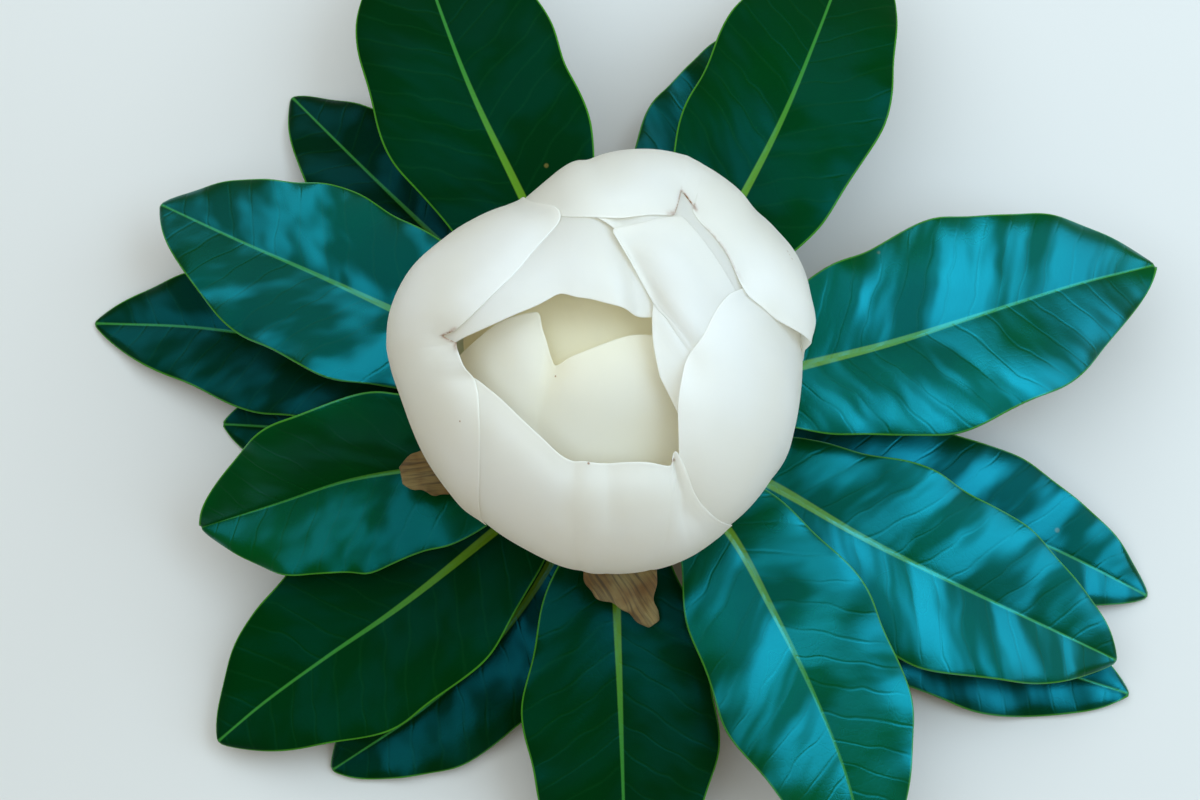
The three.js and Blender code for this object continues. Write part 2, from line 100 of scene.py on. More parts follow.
sight_right = np.array([1.0, 0.0, 0.0])
sight_up = np.array([0.0, math.sin(ELEVATION), math.cos(ELEVATION)])
sight_back = np.array([0.0, -math.cos(ELEVATION), math.sin(ELEVATION)])
looked_at = (
    bloom_middle
    - sight_right * (BLOOM_PIXEL[0] - IMAGE_SIZE[0] / 2) * MM_PER_PIXEL
    + sight_up * (BLOOM_PIXEL[1] - IMAGE_SIZE[1] / 2) * MM_PER_PIXEL
)
bpy.ops.object.camera_add(location=Vector((looked_at + sight_back * DISTANCE) * MM))
camera = bpy.context.object
camera.name = "camera_above"
camera.rotation_mode = "QUATERNION"
camera.rotation_quaternion = Vector(-sight_back).to_track_quat("-Z", "Y")
camera.data.sensor_width = SENSOR
camera.data.lens = SENSOR * DISTANCE / (MM_PER_PIXEL * IMAGE_SIZE[0])
bpy.context.scene.camera = camera
print("lens", round(camera.data.lens, 1), "mm")

# %% [markdown]
# ## Light and floor
#
# A lamp could be a small point, but then every fold of the bloom would get a hard shadow. Two
# big soft lights are used: a window high on the right, which makes that side of the leaves
# shine, and a ceiling light a little behind the bloom. Both are cool, and a weak warm world
# fills the shade, so the shaded sides of the tepals stay cream.

# %% Lights, world and floor
def soft_light(name, place, size, power, tint):
    """A square area light that looks at the bloom; place in mm, size in metres."""
    bpy.ops.object.light_add(type="AREA", location=Vector(place) * MM)
    lamp = bpy.context.object
    lamp.name = name
    lamp.data.size = size
    lamp.data.energy = power
    lamp.data.color = tint
    aim = Vector(bloom_middle) * MM - lamp.location
    lamp.rotation_euler = aim.to_track_quat("-Z", "Y").to_euler()
    print(name, "is", round(aim.length, 2), "m away")


soft_light("window_light", (680, 40, 780), 1.0, 9.8, (0.51, 0.75, 1.0))
soft_light("ceiling_light", (-190, 190, 870), 1.4, 12.0, (0.62, 0.81, 1.0))

world = bpy.data.worlds.new("pale_room")
world.use_nodes = True
world.node_tree.nodes["Background"].inputs["Color"].default_value = (1.0, 0.79, 0.46, 1.0)
world.node_tree.nodes["Background"].inputs["Strength"].default_value = 0.34
bpy.context.scene.world = world
bpy.context.scene.view_settings.view_transform = "Standard"

bpy.ops.mesh.primitive_plane_add(size=4.0)
floor = bpy.context.object
floor.name = "floor"

# %% [markdown]
# ## Colours and pattern scales
#
# A colour is written as the hex value that the eye knows and turned to linear light here. A
# pattern's scale could be found by trying, but here it follows from a real size: how many mm
# lie from one grain, vein or cloud to the next.

# %% Colours and scales
# mm that one unit of the UV maps on tepals and leaves stands for
UV_SPAN = 100.0


def colour(hex_value):
    """sRGB hex to linear RGBA."""
    parts = [int(hex_value[i:i + 2], 16) / 255 for i in (1, 3, 5)]
    linear = [p / 12.92 if p <= 0.04045 else ((p + 0.055) / 1.055) ** 2.4 for p in parts]
    return (*linear, 1.0)


def every(size, unit=1 / MM):
    """Scale of a pattern with one grain every size mm; unit is what 1 on its coordinates is in mm."""
    return unit / size


print("mid grey in linear light is", round(colour("#808080")[0], 3), "and 2 mm grain has scale", every(2))

# %% [markdown]
# ## Nodes
#
# The table gives Blender's own name and settings for each kind of node, and one function adds
# any of them. A value that is another node's socket is linked, and any other value is set.
# The floor is the first to use it: a matt painted board, a little cloudy, without glare.

# %% Nodes and the floor's paint
NODE_KINDS = {
    "position": ("TexCoord", {}),
    "uv": ("UVMap", {}),
    "attribute": ("Attribute", {}),
    "noise": ("TexNoise", {}),
    "cells": ("TexVoronoi", {}),
    "cell_edges": ("TexVoronoi", {"feature": "DISTANCE_TO_EDGE"}),
    "ease": ("MapRange", {"interpolation_type": "SMOOTHSTEP"}),
    "blend": ("Mix", {"data_type": "RGBA"}),
    "bump": ("Bump", {}),
    "stretch": ("Mapping", {}),
    "parts": ("SeparateXYZ", {}),
    "vector": ("CombineXYZ", {}),
    "colour_parts": ("SeparateColor", {}),
    "translucent": ("BsdfTranslucent", {}),
    "blend_shaders": ("MixShader", {}),
}
for operation in ("MULTIPLY", "ADD", "SUBTRACT", "ABSOLUTE", "FRACT", "MAXIMUM", "GREATER_THAN"):
    NODE_KINDS[operation.lower()] = ("Math", {"operation": operation})
for operation in ("DISTANCE", "SCALE", "MULTIPLY_ADD"):
    NODE_KINDS[operation.lower()] = ("VectorMath", {"operation": operation})


def feed(socket, value):
    """Links a socket to a value that is a node's socket, and sets it to any other."""
    if isinstance(value, bpy.types.NodeSocket):
        socket.id_data.links.new(value, socket)
    else:
        socket.default_value = value


def add_node(tree, kind, *values, out=None, **named):
    """Adds a node and returns its output. Values go to the sockets in use, in their order. A
    name in small letters is a setting, and a name with a capital is a socket."""
    blender_name, settings = NODE_KINDS[kind]
    made = tree.nodes.new("ShaderNode" + blender_name)
    for name, value in {**settings, **named}.items():
        if name.islower():
            setattr(made, name, value)
        else:
            feed(made.inputs[name], value)
    for socket, value in zip([socket for socket in made.inputs if socket.enabled], values):
        feed(socket, value)
    return made.outputs[out] if out else next(socket for socket in made.outputs if socket.enabled)


def set_shader(shader, **values):
    for name, value in values.items():
        feed(shader.inputs[name.replace("_", " ")], value)


def new_material(name, **values):
    """A material, its Principled shader with the values set, and what adds a node to it."""
    material = bpy.data.materials.new(name)
    material.use_nodes = True
    shader = material.node_tree.nodes["Principled BSDF"]
    set_shader(shader, **values)
    return material, shader, partial(add_node, material.node_tree)


floor_material, shader, add = new_material("painted_board", Roughness=0.8)
mottle = add("noise", add("position", out="Object"), Scale=every(167))
set_shader(shader, Base_Color=add("blend", mottle, colour("#d0cbc2"), colour("#d8d3ca")))
floor.data.materials.append(floor_material)
print("floor material has", len(floor_material.node_tree.nodes), "nodes")

# %% [markdown]
# ## Smooth curves and numbers on a mesh
#
# Two formulas shape nearly everything here: an ease from 0 to 1, and a cubic between two
# points with given slopes. What a material needs to know about a place, such as how far it
# is from the rim, is written on the mesh as a UV map or as a number for each vertex.

# %% Curves and attributes
def ease(x):
    t = np.clip(x, 0.0, 1.0)
    return t * t * (3 - 2 * t)


def hermite(u, low, high, slope_low, slope_high):
    """A cubic from low to high as u goes from 0 to 1."""
    return (
        (2 * u**3 - 3 * u**2 + 1) * low + (u**3 - 2 * u**2 + u) * slope_low
        + (3 * u**2 - 2 * u**3) * high + (u**3 - u**2) * slope_high
    )


def write_uv(piece, name, values):
    """A UV map from one pair of numbers for each vertex."""
    layer = piece.data.uv_layers.get(name) or piece.data.uv_layers.new(name=name)
    corners = np.zeros(len(piece.data.loops), int)
    piece.data.loops.foreach_get("vertex_index", corners)
    layer.data.foreach_set("uv", values.reshape(-1, 2)[corners].ravel())


def write_value(piece, name, values):
    """A named number for each vertex, which a material can read."""
    attribute = piece.data.attributes.new(name, "FLOAT", "POINT")
    attribute.data.foreach_set("value", values)


def by_vertex(order, values):
    """Values of the grid, in the order of the mesh's vertices."""
    wide = values.reshape(len(order), -1)
    sorted_values = np.zeros_like(wide)
    sorted_values[order] = wide
    return sorted_values


print("ease at 0, a quarter and a half:", [float(ease(x)) for x in (0, 0.25, 0.5)])

# %% [markdown]
# ## From a flat grid to a blade
#
# A tepal and a leaf are both thin sheets. Each starts as a flat grid. Its points are then
# moved to where the sheet's rule puts them, a Solidify modifier gives it a thickness that
# changes from place to place, and one level of subdivision rounds its edge.

# %% Sheets
SHEET_ROUNDING = 1


def selected_only(piece):
    bpy.ops.object.select_all(action="DESELECT")
    piece.select_set(True)
    bpy.context.view_layer.objects.active = piece


def grid_sheet(name, points, *materials):
    """A flat grid primitive, its points moved to points[row, column] in mm."""
    rows, columns = points.shape[:2]
    bpy.ops.mesh.primitive_grid_add(x_subdivisions=columns - 1, y_subdivisions=rows - 1, size=1.0)
    piece = bpy.context.object
    piece.name = piece.data.name = name
    flat = np.zeros(rows * columns * 3)
    piece.data.vertices.foreach_get("co", flat)
    flat = flat.reshape(-1, 3)
    order = np.lexsort((flat[:, 0].round(5), flat[:, 1].round(5)))
    flat[order] = points.reshape(-1, 3) * MM
    piece.data.vertices.foreach_set("co", flat.ravel())
    for material in materials:
        piece.data.materials.append(material)
    return piece, order


def thicken(piece, order, thickness, under_material=0):
    """Gives the sheet its thickness in mm, from one value for each point, and rounds it."""
    most = float(thickness.max())
    group = piece.vertex_groups.new(name="thickness")
    for index, value in zip(order.tolist(), (thickness.ravel() / most).tolist()):
        group.add([index], value, "REPLACE")
    solid = piece.modifiers.new("thickness", "SOLIDIFY")
    solid.thickness = most * MM
    solid.offset = 0.0
    solid.vertex_group = group.name
    solid.use_quality_normals = True
    solid.material_offset = under_material
    round_and_finish(piece)


def round_and_finish(piece, levels=SHEET_ROUNDING):
    """Rounds the piece by subdivision, applies all its modifiers and shades it smooth."""
    if levels:
        rounding = piece.modifiers.new("rounding", "SUBSURF")
        rounding.levels = rounding.render_levels = levels
    selected_only(piece)
    for modifier in list(piece.modifiers):
        bpy.ops.object.modifier_apply(modifier=modifier.name)
    bpy.ops.object.shade_smooth()


def dress(piece, node):
    """Hangs the finished piece on the root body and hides the node's own part."""
    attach(piece, "root")
    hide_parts(node)
    print(piece.name, "has", len(piece.data.polygons), "faces")


print("levels of rounding on each sheet:", SHEET_ROUNDING)

# %% [markdown]
# ## The ball that carries the tepals
#
# The closed part of the bloom is an uneven ball: its widest radius changes round it. A
# point on it is named by its bearing, anticlockwise from the right, by its polar angle
# from the top, and by its inset, how far it lies below the outermost ball.

# %% Ball of the bloom
BALL_HEIGHT = 52.0
CLAW_RADIUS = 8.2
CLAW_STEP = 3.4
CLAW_INSET = 2.2
TOP_SHARE = 0.9
GIRTH = [
    (0, 58.6), (25, 60.5), (50, 62.8), (68, 63.0), (80, 60.4),
    (92, 57.0), (103, 52.8), (114, 50.7), (126, 51.6), (140, 54.4),
    (155, 58.3), (172, 59.2), (192, 54.8), (214, 54.3), (235, 55.6),
    (250, 56.6), (268, 58.9), (288, 60.3), (310, 61.8), (332, 60.6),
]


def girth(bearing):
    """Widest radius at each bearing: a closed smooth curve through the stations."""
    turns, radii = np.array(GIRTH).T
    turns = np.concatenate([[turns[-1] - 360], turns, turns[:2] + 360])
    radii = np.concatenate([[radii[-1]], radii, radii[:2]])
    slopes = (radii[2:] - radii[:-2]) / (turns[2:] - turns[:-2])
    b = np.asarray(bearing, float) % 360
    k = np.searchsorted(turns, b, side="right") - 1
    h = turns[k + 1] - turns[k]
    u = (b - turns[k]) / h
    return hermite(u, radii[k], radii[k + 1], h * slopes[k - 1], h * slopes[k])


def on_ball(polar, bearing, inset, whorl):
    """Point of the upright bloom, in mm."""
    p, b = np.radians(polar), np.radians(bearing)
    wide = girth(bearing) - inset
    rho = np.where(polar > 90, CLAW_RADIUS + (wide - CLAW_RADIUS) * np.sin(p), wide * np.sin(p))
    rise = np.where(polar > 90, BALL_MIDDLE - whorl * CLAW_STEP, BALL_HEIGHT - TOP_SHARE * inset)
    return np.stack([rho * np.cos(b), rho * np.sin(b), BALL_MIDDLE + rise * np.cos(p)], -1)


def on_map(bearing, polar):
    """Flat map of the ball: distance from the middle is the polar angle."""
    b = np.radians(bearing)
    return np.stack([polar * np.cos(b), polar * np.sin(b)], -1)


print("bloom is", round(float(girth(0) + girth(180)), 1), "mm wide")

# %% [markdown]
# ## The nine tepals
#
# Only the margin of each tepal is drawn: a line of knots from its high bearing to its low
# one. A knot marked corner keeps the line sharp there, as at the tear in the back tepal.
# The claw, where the tepal leaves the stem, has a bearing and half a spread. Folds are
# ridges, or furrows where the height is below zero, between two places on the ball. A step
# is a line beyond which the tepal dips, as the hood over the opening does on its right.

# %% Tepal table
CORNER = "corner"
TEPALS = {
    "tepal_outer_back": dict(
        whorl=0, claw=74, spread=30, tuck=1.2,
        margin=[
            (118, 92, 3), (116, 70, 2.7), (107.9, 49.2, 2.2), (98.3, 36.6, 1.5),
            (86, 32, 0.8), (77, 31.1, 0.6), (69, 32, 0.5), (60.2, 35.4, 0.5),
            (51.5, 40, 0.5, CORNER), (54.3, 45.7, 0.4), (57, 51.6, 0.2, CORNER),
            (53.7, 50, 0.4), (50, 48.7, 0.5, CORNER), (49.1, 47, 0.6, CORNER),
            (44.7, 45.8, 0.6), (38.6, 46.9, 0.6), (28.5, 49.4, 0.4), (19, 50.9, 0.4),
            (14.6, 51.9, -0.2), (10.5, 55.6, -1.6), (6.8, 60.3, -2.8), (4.2, 65.6, -3.9),
            (2.5, 72.5, -4.5), (1.8, 78.5, -4.6, CORNER), (1, 85, -3), (0.5, 97, 0),
        ],
        folds=[((33, 84), (16, 88), 14, -2.1)],
    ),
    "tepal_outer_left": dict(
        whorl=0, claw=168, spread=32, tuck=0.6,
        margin=[
            (236, 92, 0.8), (234, 70, 0.8), (231, 57, 0.7), (221, 43, 0.7), (209, 38, 0.7),
            (201.3, 37.9, 0.7), (191.8, 38.3, 0.7), (185.6, 38.2, 0.8, CORNER),
            (180.1, 43.2, 0.7, CORNER), (179, 38, 0.8, CORNER), (176.4, 34.2, 0.8),
            (173.6, 31.7, 0.7), (164.3, 27, 0.6), (150.6, 24.7, 0.6), (133.2, 26.4, 0.6),
            (119.7, 30.3, 0.6), (108.7, 33.6, 0.5), (99.9, 36.2, 0.4), (101, 41, 0.5),
            (105.5, 47, 0.6), (110.5, 56, 0.8), (113, 74, 1), (113, 92, 1),
        ],
    ),
    "tepal_outer_front": dict(
        whorl=0, claw=262, spread=32, tuck=1.6,
        margin=[
            (309, 92, 2.2), (306, 75, 1.9), (304.5, 60, 1.4), (306.5, 50, 1.0),
            (307.7, 44.3, 0.9, CORNER), (304.5, 45.8, 1), (302.5, 47.4, 1.2, CORNER),
            (300, 45.2, 1), (296.6, 42.6, 1), (292.5, 41.2, 1), (286.9, 40.2, 1),
            (281, 40.2, 1.2, CORNER), (276.6, 39.4, 1), (271, 38.8, 1),
            (265.9, 39.8, 1.4, CORNER), (262, 38.9, 1.2), (253.4, 35.9, 1.2), (239.4, 33.5, 1.5),
            (223.5, 33.3, 1.8), (210.5, 35.6, 2), (202, 38.6, 2.2), (196.5, 50, 2.4),
            (196, 66, 2.6), (199, 92, 2.8),
        ],
        folds=[((303, 47), (301, 66), 4, -0.9), ((281, 40), (279, 58), 3.5, -0.7),
               ((266, 40), (262, 56), 4, -0.8)],
    ),
    "tepal_middle_right": dict(
        whorl=0.9, claw=-12, spread=28, tuck=0.9,
        margin=[
            (30, 92, 4.6), (27, 74, 4.2), (23, 60, 3), (17, 52, 1.9), (14.9, 45.3, 1.7),
            (8, 39.4, 1.6), (-2.6, 35.4, 1.7), (-12, 32.7, 1.8), (-25, 31.4, 1.9),
            (-35.3, 32.7, 2), (-41, 35, 2.2), (-47, 39.4, 2.5), (-52.2, 45, 2.8),
            (-58, 56, 3.1), (-63, 70, 3.5), (-64, 92, 3.9),
        ],
    ),
    "tepal_middle_back": dict(
        whorl=2.1, claw=62, spread=24, tuck=0.3,
        margin=[
            (104, 92, 8), (104, 70, 7), (101, 50, 6), (90, 36, 4.8), (77, 30, 4.2),
            (67, 28, 3.4), (55, 31, 2.8), (40, 36, 2.8), (26, 38, 3.4), (13, 43, 4.6),
            (8, 54, 6), (8, 70, 7.4), (10, 92, 9),
        ],
    ),
    "tepal_middle_left": dict(
        whorl=2.6, claw=112, spread=22, tuck=1.5,
        margin=[
            (196, 72, 6), (187.5, 51, 3.4), (184.5, 44, 2.6), (182.8, 38, 2.3),
            (179.8, 29.2, 2.4), (170.4, 18.9, 2.6), (152, 12.8, 2.8), (121, 12.1, 2.8),
            (86.7, 7.2, 3), (40.5, 8.4, 3.2), (20.9, 12.9, 3.6),
            (10.5, 19, 4.4), (11, 28, 5.5),
        ],
        steps=[((75.2, 27.2), (22.8, 14.1), 3.5, 4.6)],
    ),
    "tepal_inner_right": dict(
        whorl=1.9, claw=-40, spread=10, tuck=1.4, rest=0.8,
        margin=[
            (50.2, 42.8, 1.6), (54.5, 37.9, 1.7),
            (62.7, 31.6, 2.1), (73.6, 27.6, 2.6, CORNER), (63.9, 24.1, 3), (52.5, 22.4, 3),
            (40.4, 22, 3), (26.7, 22.7, 3), (21.4, 23.8, 3.1, CORNER), (15.4, 22.8, 3.3),
            (4.7, 21.9, 3.9), (-12, 22.2, 4), (-23.2, 24.2, 4.1), (-32.5, 27.6, 4.2),
        ],
        folds=[((25, 26), (8, 40), 5, -0.9), ((8, 60), (-38, 92), 18, -2.6)],
        steps=[((27.9, 25.7), (70.2, 30.1), 3.5, 2.6)],
    ),
    "tepal_inner_front": dict(
        whorl=2.4, claw=262, spread=28, tuck=0.5,
        margin=[
            (345, 92, 17), (350, 60, 17), (356, 36, 16), (358.5, 25.3, 15), (356.2, 17.3, 14.4),
            (339, 9.9, 14.2), (300, 6.5, 14.2), (266, 7.6, 14.2), (246, 10, 14.2),
            (237.5, 12.9, 14.2), (229.5, 17.7, 14.2, CORNER), (210.5, 15.4, 14), (184.5, 14, 13.6),
            (162.5, 14.8, 13.2), (153.3, 17, 13, CORNER), (162.3, 22.4, 12.8),
            (168.9, 28.8, 12.8), (173.8, 33.8, 12.8), (179, 42, 13.2), (184, 60, 14), (186, 92, 15),
        ],
        folds=[((229, 18), (238, 40), 6, -1.4)],
    ),
    "tepal_inner_back": dict(
        whorl=3, claw=110, spread=30, tuck=0.4,
        margin=[
            (205, 90, 23), (215, 50, 22), (235, 30, 21), (275, 22, 21), (310, 24, 21),
            (335, 36, 22), (355, 60, 23), (2, 90, 23),
        ],
    ),
}
print(len(TEPALS), "tepals with", sum(len(tepal["margin"]) for tepal in TEPALS.values()), "knots")

# %% [markdown]
# ## From a margin to a tepal
#
# A tepal's margin is sampled closely at a tear and more widely elsewhere. From the claw to
# each sample runs a curved path on the ball, which makes the grid. The margin itself is
# thinner than the body and tucks in a little, which is what makes the bloom look closed.
# All of this is set at a share of the way from the claw, 0, to the margin, 1.

# %% From the margin to a grid of points
COARSE_STEP = 2.8
FINE_STEP = 0.9
SHORT_PART = 13.0
TEPAL_ROWS = 48
ROW_CROWDING = 1.35
CLAW_POLAR = 180.0
PATH_POLAR = 125.0
PATH_SPREAD = 1.6
GROWN = 0.55
FREE = 0.3
TEPAL_THICK = 1.5
TEPAL_THIN = 0.3
CLAW_THICK = 2.2
CLAW_SHARE = 0.25
THIN_WIDTH = 8.0
TUCK_WIDTH = 6.0
DENT_SIZE = 22.0
DENT_DEPTH = 0.3


def smooth_line(knots, step):
    """Even samples of a smooth curve through knots; the first two columns are the place."""
    lengths = np.linalg.norm(np.diff(knots[:, :2], axis=0), axis=1)
    run = np.concatenate([[0], np.cumsum(lengths)])
    slopes = np.gradient(knots, run, axis=0) if len(knots) > 2 else np.tile(
        (knots[1] - knots[0]) / lengths[0], (2, 1)
    )
    places = np.linspace(0, run[-1], max(2, round(run[-1] / step) + 1))
    k = np.clip(np.searchsorted(run, places, side="right") - 1, 0, len(lengths) - 1)
    u = ((places - run[k]) / lengths[k])[:, None]
    h = lengths[k][:, None]
    return hermite(u, knots[k], knots[k + 1], h * slopes[k], h * slopes[k + 1])


def margin_line(margin):
    """Samples of a margin on the flat map, with the inset, split at its corners."""
    knots = np.array([[*on_map(b, p), inset] for b, p, inset, *_ in margin])
    corners = [i for i, knot in enumerate(margin) if CORNER in knot]
    ends = [0, *corners, len(margin) - 1]
    parts = []
    for first, last in zip(ends[:-1], ends[1:]):
        part = knots[first:last + 1]
        length = np.linalg.norm(np.diff(part[:, :2], axis=0), axis=1).sum()
        parts.append(smooth_line(part, FINE_STEP if length < SHORT_PART else COARSE_STEP)[:-1])
    return np.concatenate([*parts, knots[-1:]])


def distance_to_segment(points, start, end):
    along = end - start
    share = np.clip(((points - start) @ along) / (along @ along), 0, 1)
    return np.linalg.norm(points - (start + share[..., None] * along), axis=-1)


def beside_line(points, start, end):
    """How far the points lie to the left of a line, looking from its start to its end."""
    along = (end - start) / np.linalg.norm(end - start)
    away = points - start
    return along[0] * away[..., 1] - along[1] * away[..., 0]


def dents(points, seed):
    """Slow, small unevenness, the same each run."""
    place = Vector((13.7 * seed, 4.1 * seed, 7.9 * seed))
    values = [noise.noise(Vector(p) / DENT_SIZE + place) for p in points.reshape(-1, 3)]
    return np.array(values).reshape(points.shape[:-1])


def tepal_sheet(tepal, seed):
    """For each point its place on the map, inset, thickness and distance from the rim."""
    edge = margin_line(tepal["margin"])[::-1]
    run = np.concatenate([[0], np.cumsum(np.linalg.norm(np.diff(edge[:, :2], axis=0), axis=1))])
    across = run / run[-1]
    turn = tepal["spread"] * (2 * across - 1)
    v = (1 - (1 - np.linspace(0, 1, TEPAL_ROWS)) ** ROW_CROWDING)[:, None]
    claw = on_map(tepal["claw"] + turn, CLAW_POLAR)[None]
    swing = on_map(tepal["claw"] + PATH_SPREAD * turn, PATH_POLAR)[None]
    w = v[..., None]
    at = (1 - w) ** 2 * claw + 2 * w * (1 - w) * swing + w**2 * edge[None, :, :2]
    polar = np.linalg.norm(at, axis=-1)
    bearing = np.degrees(np.arctan2(at[..., 1], at[..., 0]))
    grow = ease(v / GROWN)
    inset = tepal["whorl"] * CLAW_INSET * (1 - grow) + edge[None, :, 2] * grow
    for start, end, width, height in tepal.get("folds", []):
        away = distance_to_segment(at, on_map(*start), on_map(*end))
        inset = inset - height * np.exp(-((away / width) ** 2))
    for start, end, width, depth in tepal.get("steps", []):
        start, end = on_map(*start), on_map(*end)
        inset = inset + depth * ease(beside_line(at, start, end) / width + 0.2)
    flat = on_ball(polar, bearing, inset, tepal["whorl"])
    rim = np.concatenate([flat[-1], flat[:, 0], flat[:, -1]])
    to_rim = np.linalg.norm(flat[:, :, None] - rim[None, None], axis=-1).min(-1)
    free = ease((v - FREE) / FREE)
    inset = inset + tepal["tuck"] * np.exp(-((to_rim / TUCK_WIDTH) ** 2)) * free
    inset = inset + DENT_DEPTH * dents(flat, seed) * free
    body = CLAW_THICK + (TEPAL_THICK - CLAW_THICK) * ease(v / CLAW_SHARE)
    thin = (1 - ease(to_rim / THIN_WIDTH)) * ease(v / FREE)
    thickness = body + (TEPAL_THIN - body) * thin
    places = np.stack(np.broadcast_arrays(across[None], v), -1)
    return at, inset, thickness, to_rim, places


print("samples on the back tepal's margin:", len(margin_line(TEPALS["tepal_outer_back"]["margin"])))


# %% [markdown]
# ## One tepal on the next
#
# In the closed bloom each margin rests on the tepal below it. So the tepals are laid from
# the inside out over a map of the ball: every finished tepal writes its outer skin into the
# map, and the next one bends down to that skin near its rim, and stays above it elsewhere.
# The map has one cell for each degree. Past the flank, near the claws, it is left alone.

# %% Laying a tepal on the ones below
MAP_REACH = 124
FLANK_POLAR = 104
FLANK_FADE = 16
CLEARANCE = 0.05
REST_WIDTH = 7.0
REST_REACH = 2


def outermost_near(skin, reach):
    """The smallest inset within reach cells of each cell of the map."""
    best = skin.copy()
    for i in range(-reach, reach + 1):
        for j in range(-reach, reach + 1):
            if i * i + j * j <= reach * reach + 1:
                best = np.fmin(best, np.roll(skin, (i, j), (0, 1)))
    return best


def softened(skin, passes):
    """The map blurred, and how much each cell is covered, from 0 to 1."""
    cover = (~np.isnan(skin)).astype(float)
    total = np.nan_to_num(skin)
    for _ in range(passes):
        for axis in (0, 1):
            total = 0.25 * np.roll(total, 1, axis) + 0.5 * total + 0.25 * np.roll(total, -1, axis)
            cover = 0.25 * np.roll(cover, 1, axis) + 0.5 * cover + 0.25 * np.roll(cover, -1, axis)
    return total / np.maximum(cover, 1e-6), cover


def from_map(values, at):
    """Values of the map between its cells, at the given places."""
    place = np.clip(at + MAP_REACH, 0, 2 * MAP_REACH - 1)
    low = np.floor(place).astype(int)
    (i, j), (a, b) = np.moveaxis(low, -1, 0), np.moveaxis(place - low, -1, 0)
    return (
        (1 - a) * (1 - b) * values[i, j] + a * (1 - b) * values[i + 1, j]
        + (1 - a) * b * values[i, j + 1] + a * b * values[i + 1, j + 1]
    )


def laid_on(skin, at, inset, thickness, to_rim, share):
    """The inset of a tepal laid on what the map holds."""
    below, cover = softened(outermost_near(skin, 2), 3)
    rest = from_map(below, at) - thickness / 2 - CLEARANCE
    cover = from_map(np.clip(cover * 1.5, 0, 1), at)
    inside = 1 - ease((np.linalg.norm(at, axis=-1) - FLANK_POLAR) / FLANK_FADE)
    air = rest - inset
    near = share * np.exp(-((to_rim / REST_WIDTH) ** 2)) * (1 - ease((air - REST_REACH) / REST_REACH))
    shift = np.where(air > 0, air * near, air)
    return inset + shift * cover * inside


def write_skin(skin, at, inset, thickness):
    """Writes the outer skin of a tepal into the cells of the map that it covers."""
    sheet = np.concatenate([at, (inset - thickness / 2)[..., None]], -1)
    for a in np.linspace(0, 1, 5)[:-1]:
        for b in np.linspace(0, 1, 5)[:-1]:
            inner = (
                (1 - a) * ((1 - b) * sheet[:-1, :-1] + b * sheet[:-1, 1:])
                + a * ((1 - b) * sheet[1:, :-1] + b * sheet[1:, 1:])
            ).reshape(-1, 3)
            inner = inner[np.linalg.norm(inner[:, :2], axis=1) < MAP_REACH - 1]
            i, j = np.rint(inner[:, :2] + MAP_REACH).astype(int).T
            np.fmin.at(skin, (i, j), inner[:, 2])


skin = np.full((2 * MAP_REACH + 1, 2 * MAP_REACH + 1), np.nan)
print("map of the ball has", skin.size, "cells")

# %% [markdown]
# ## Waxy tepal
#
# A magnolia tepal is thick, waxy and full of air, so over half of the light that meets it
# goes on through it. That is why the eye finds no dark seam between two tepals, and why the
# hollow of the bloom glows cream. Subsurface light would give this too, but it is slow and
# blurs the thin margins, so the shader is four tenths a satin skin and six tenths translucent.
# The cream gets deeper with the inset, where the light has passed more tepals: that cream is partly
# the inner tepals' own and partly painted shade. Near the claw it turns greenish. Torn edges are
# brown, and a few brown specks lie where they fell.

# %% Tepal material
TRANSLUCENT = 0.6
CLAW_GREEN = (22, 2)
SPECK_SIZE = (0.0065, 0.002)
# Brown specks: bearing, polar angle, size, and True for one on an innermost tepal
SPECKS = [
    (27.2, 77.9, 0.9, False), (26.0, 77.4, 0.7, False), (24.7, 77.0, 0.8, False),
    (272.6, 39.3, 0.8, False), (304.6, 46.6, 1.3, False), (214.8, 48.3, 0.6, False),
    (237.2, 20.0, 0.8, True),
]


def speck_share(add):
    """How brown a place is by the specks, from 0 to 1."""
    ball = add("uv", uv_map="on_ball")
    inner = add("attribute", attribute_name="inner", out="Fac")
    outer = add("subtract", 1.0, inner)
    specks = 0.0
    for bearing, polar, size, on_inner in SPECKS:
        away = add("distance", ball, (*on_map(bearing, polar) / UV_SPAN, 0.0))
        spot = add("ease", away, SPECK_SIZE[0] * size, SPECK_SIZE[1] * size)
        specks = add("maximum", add("multiply", spot, inner if on_inner else outer), specks)
    return specks


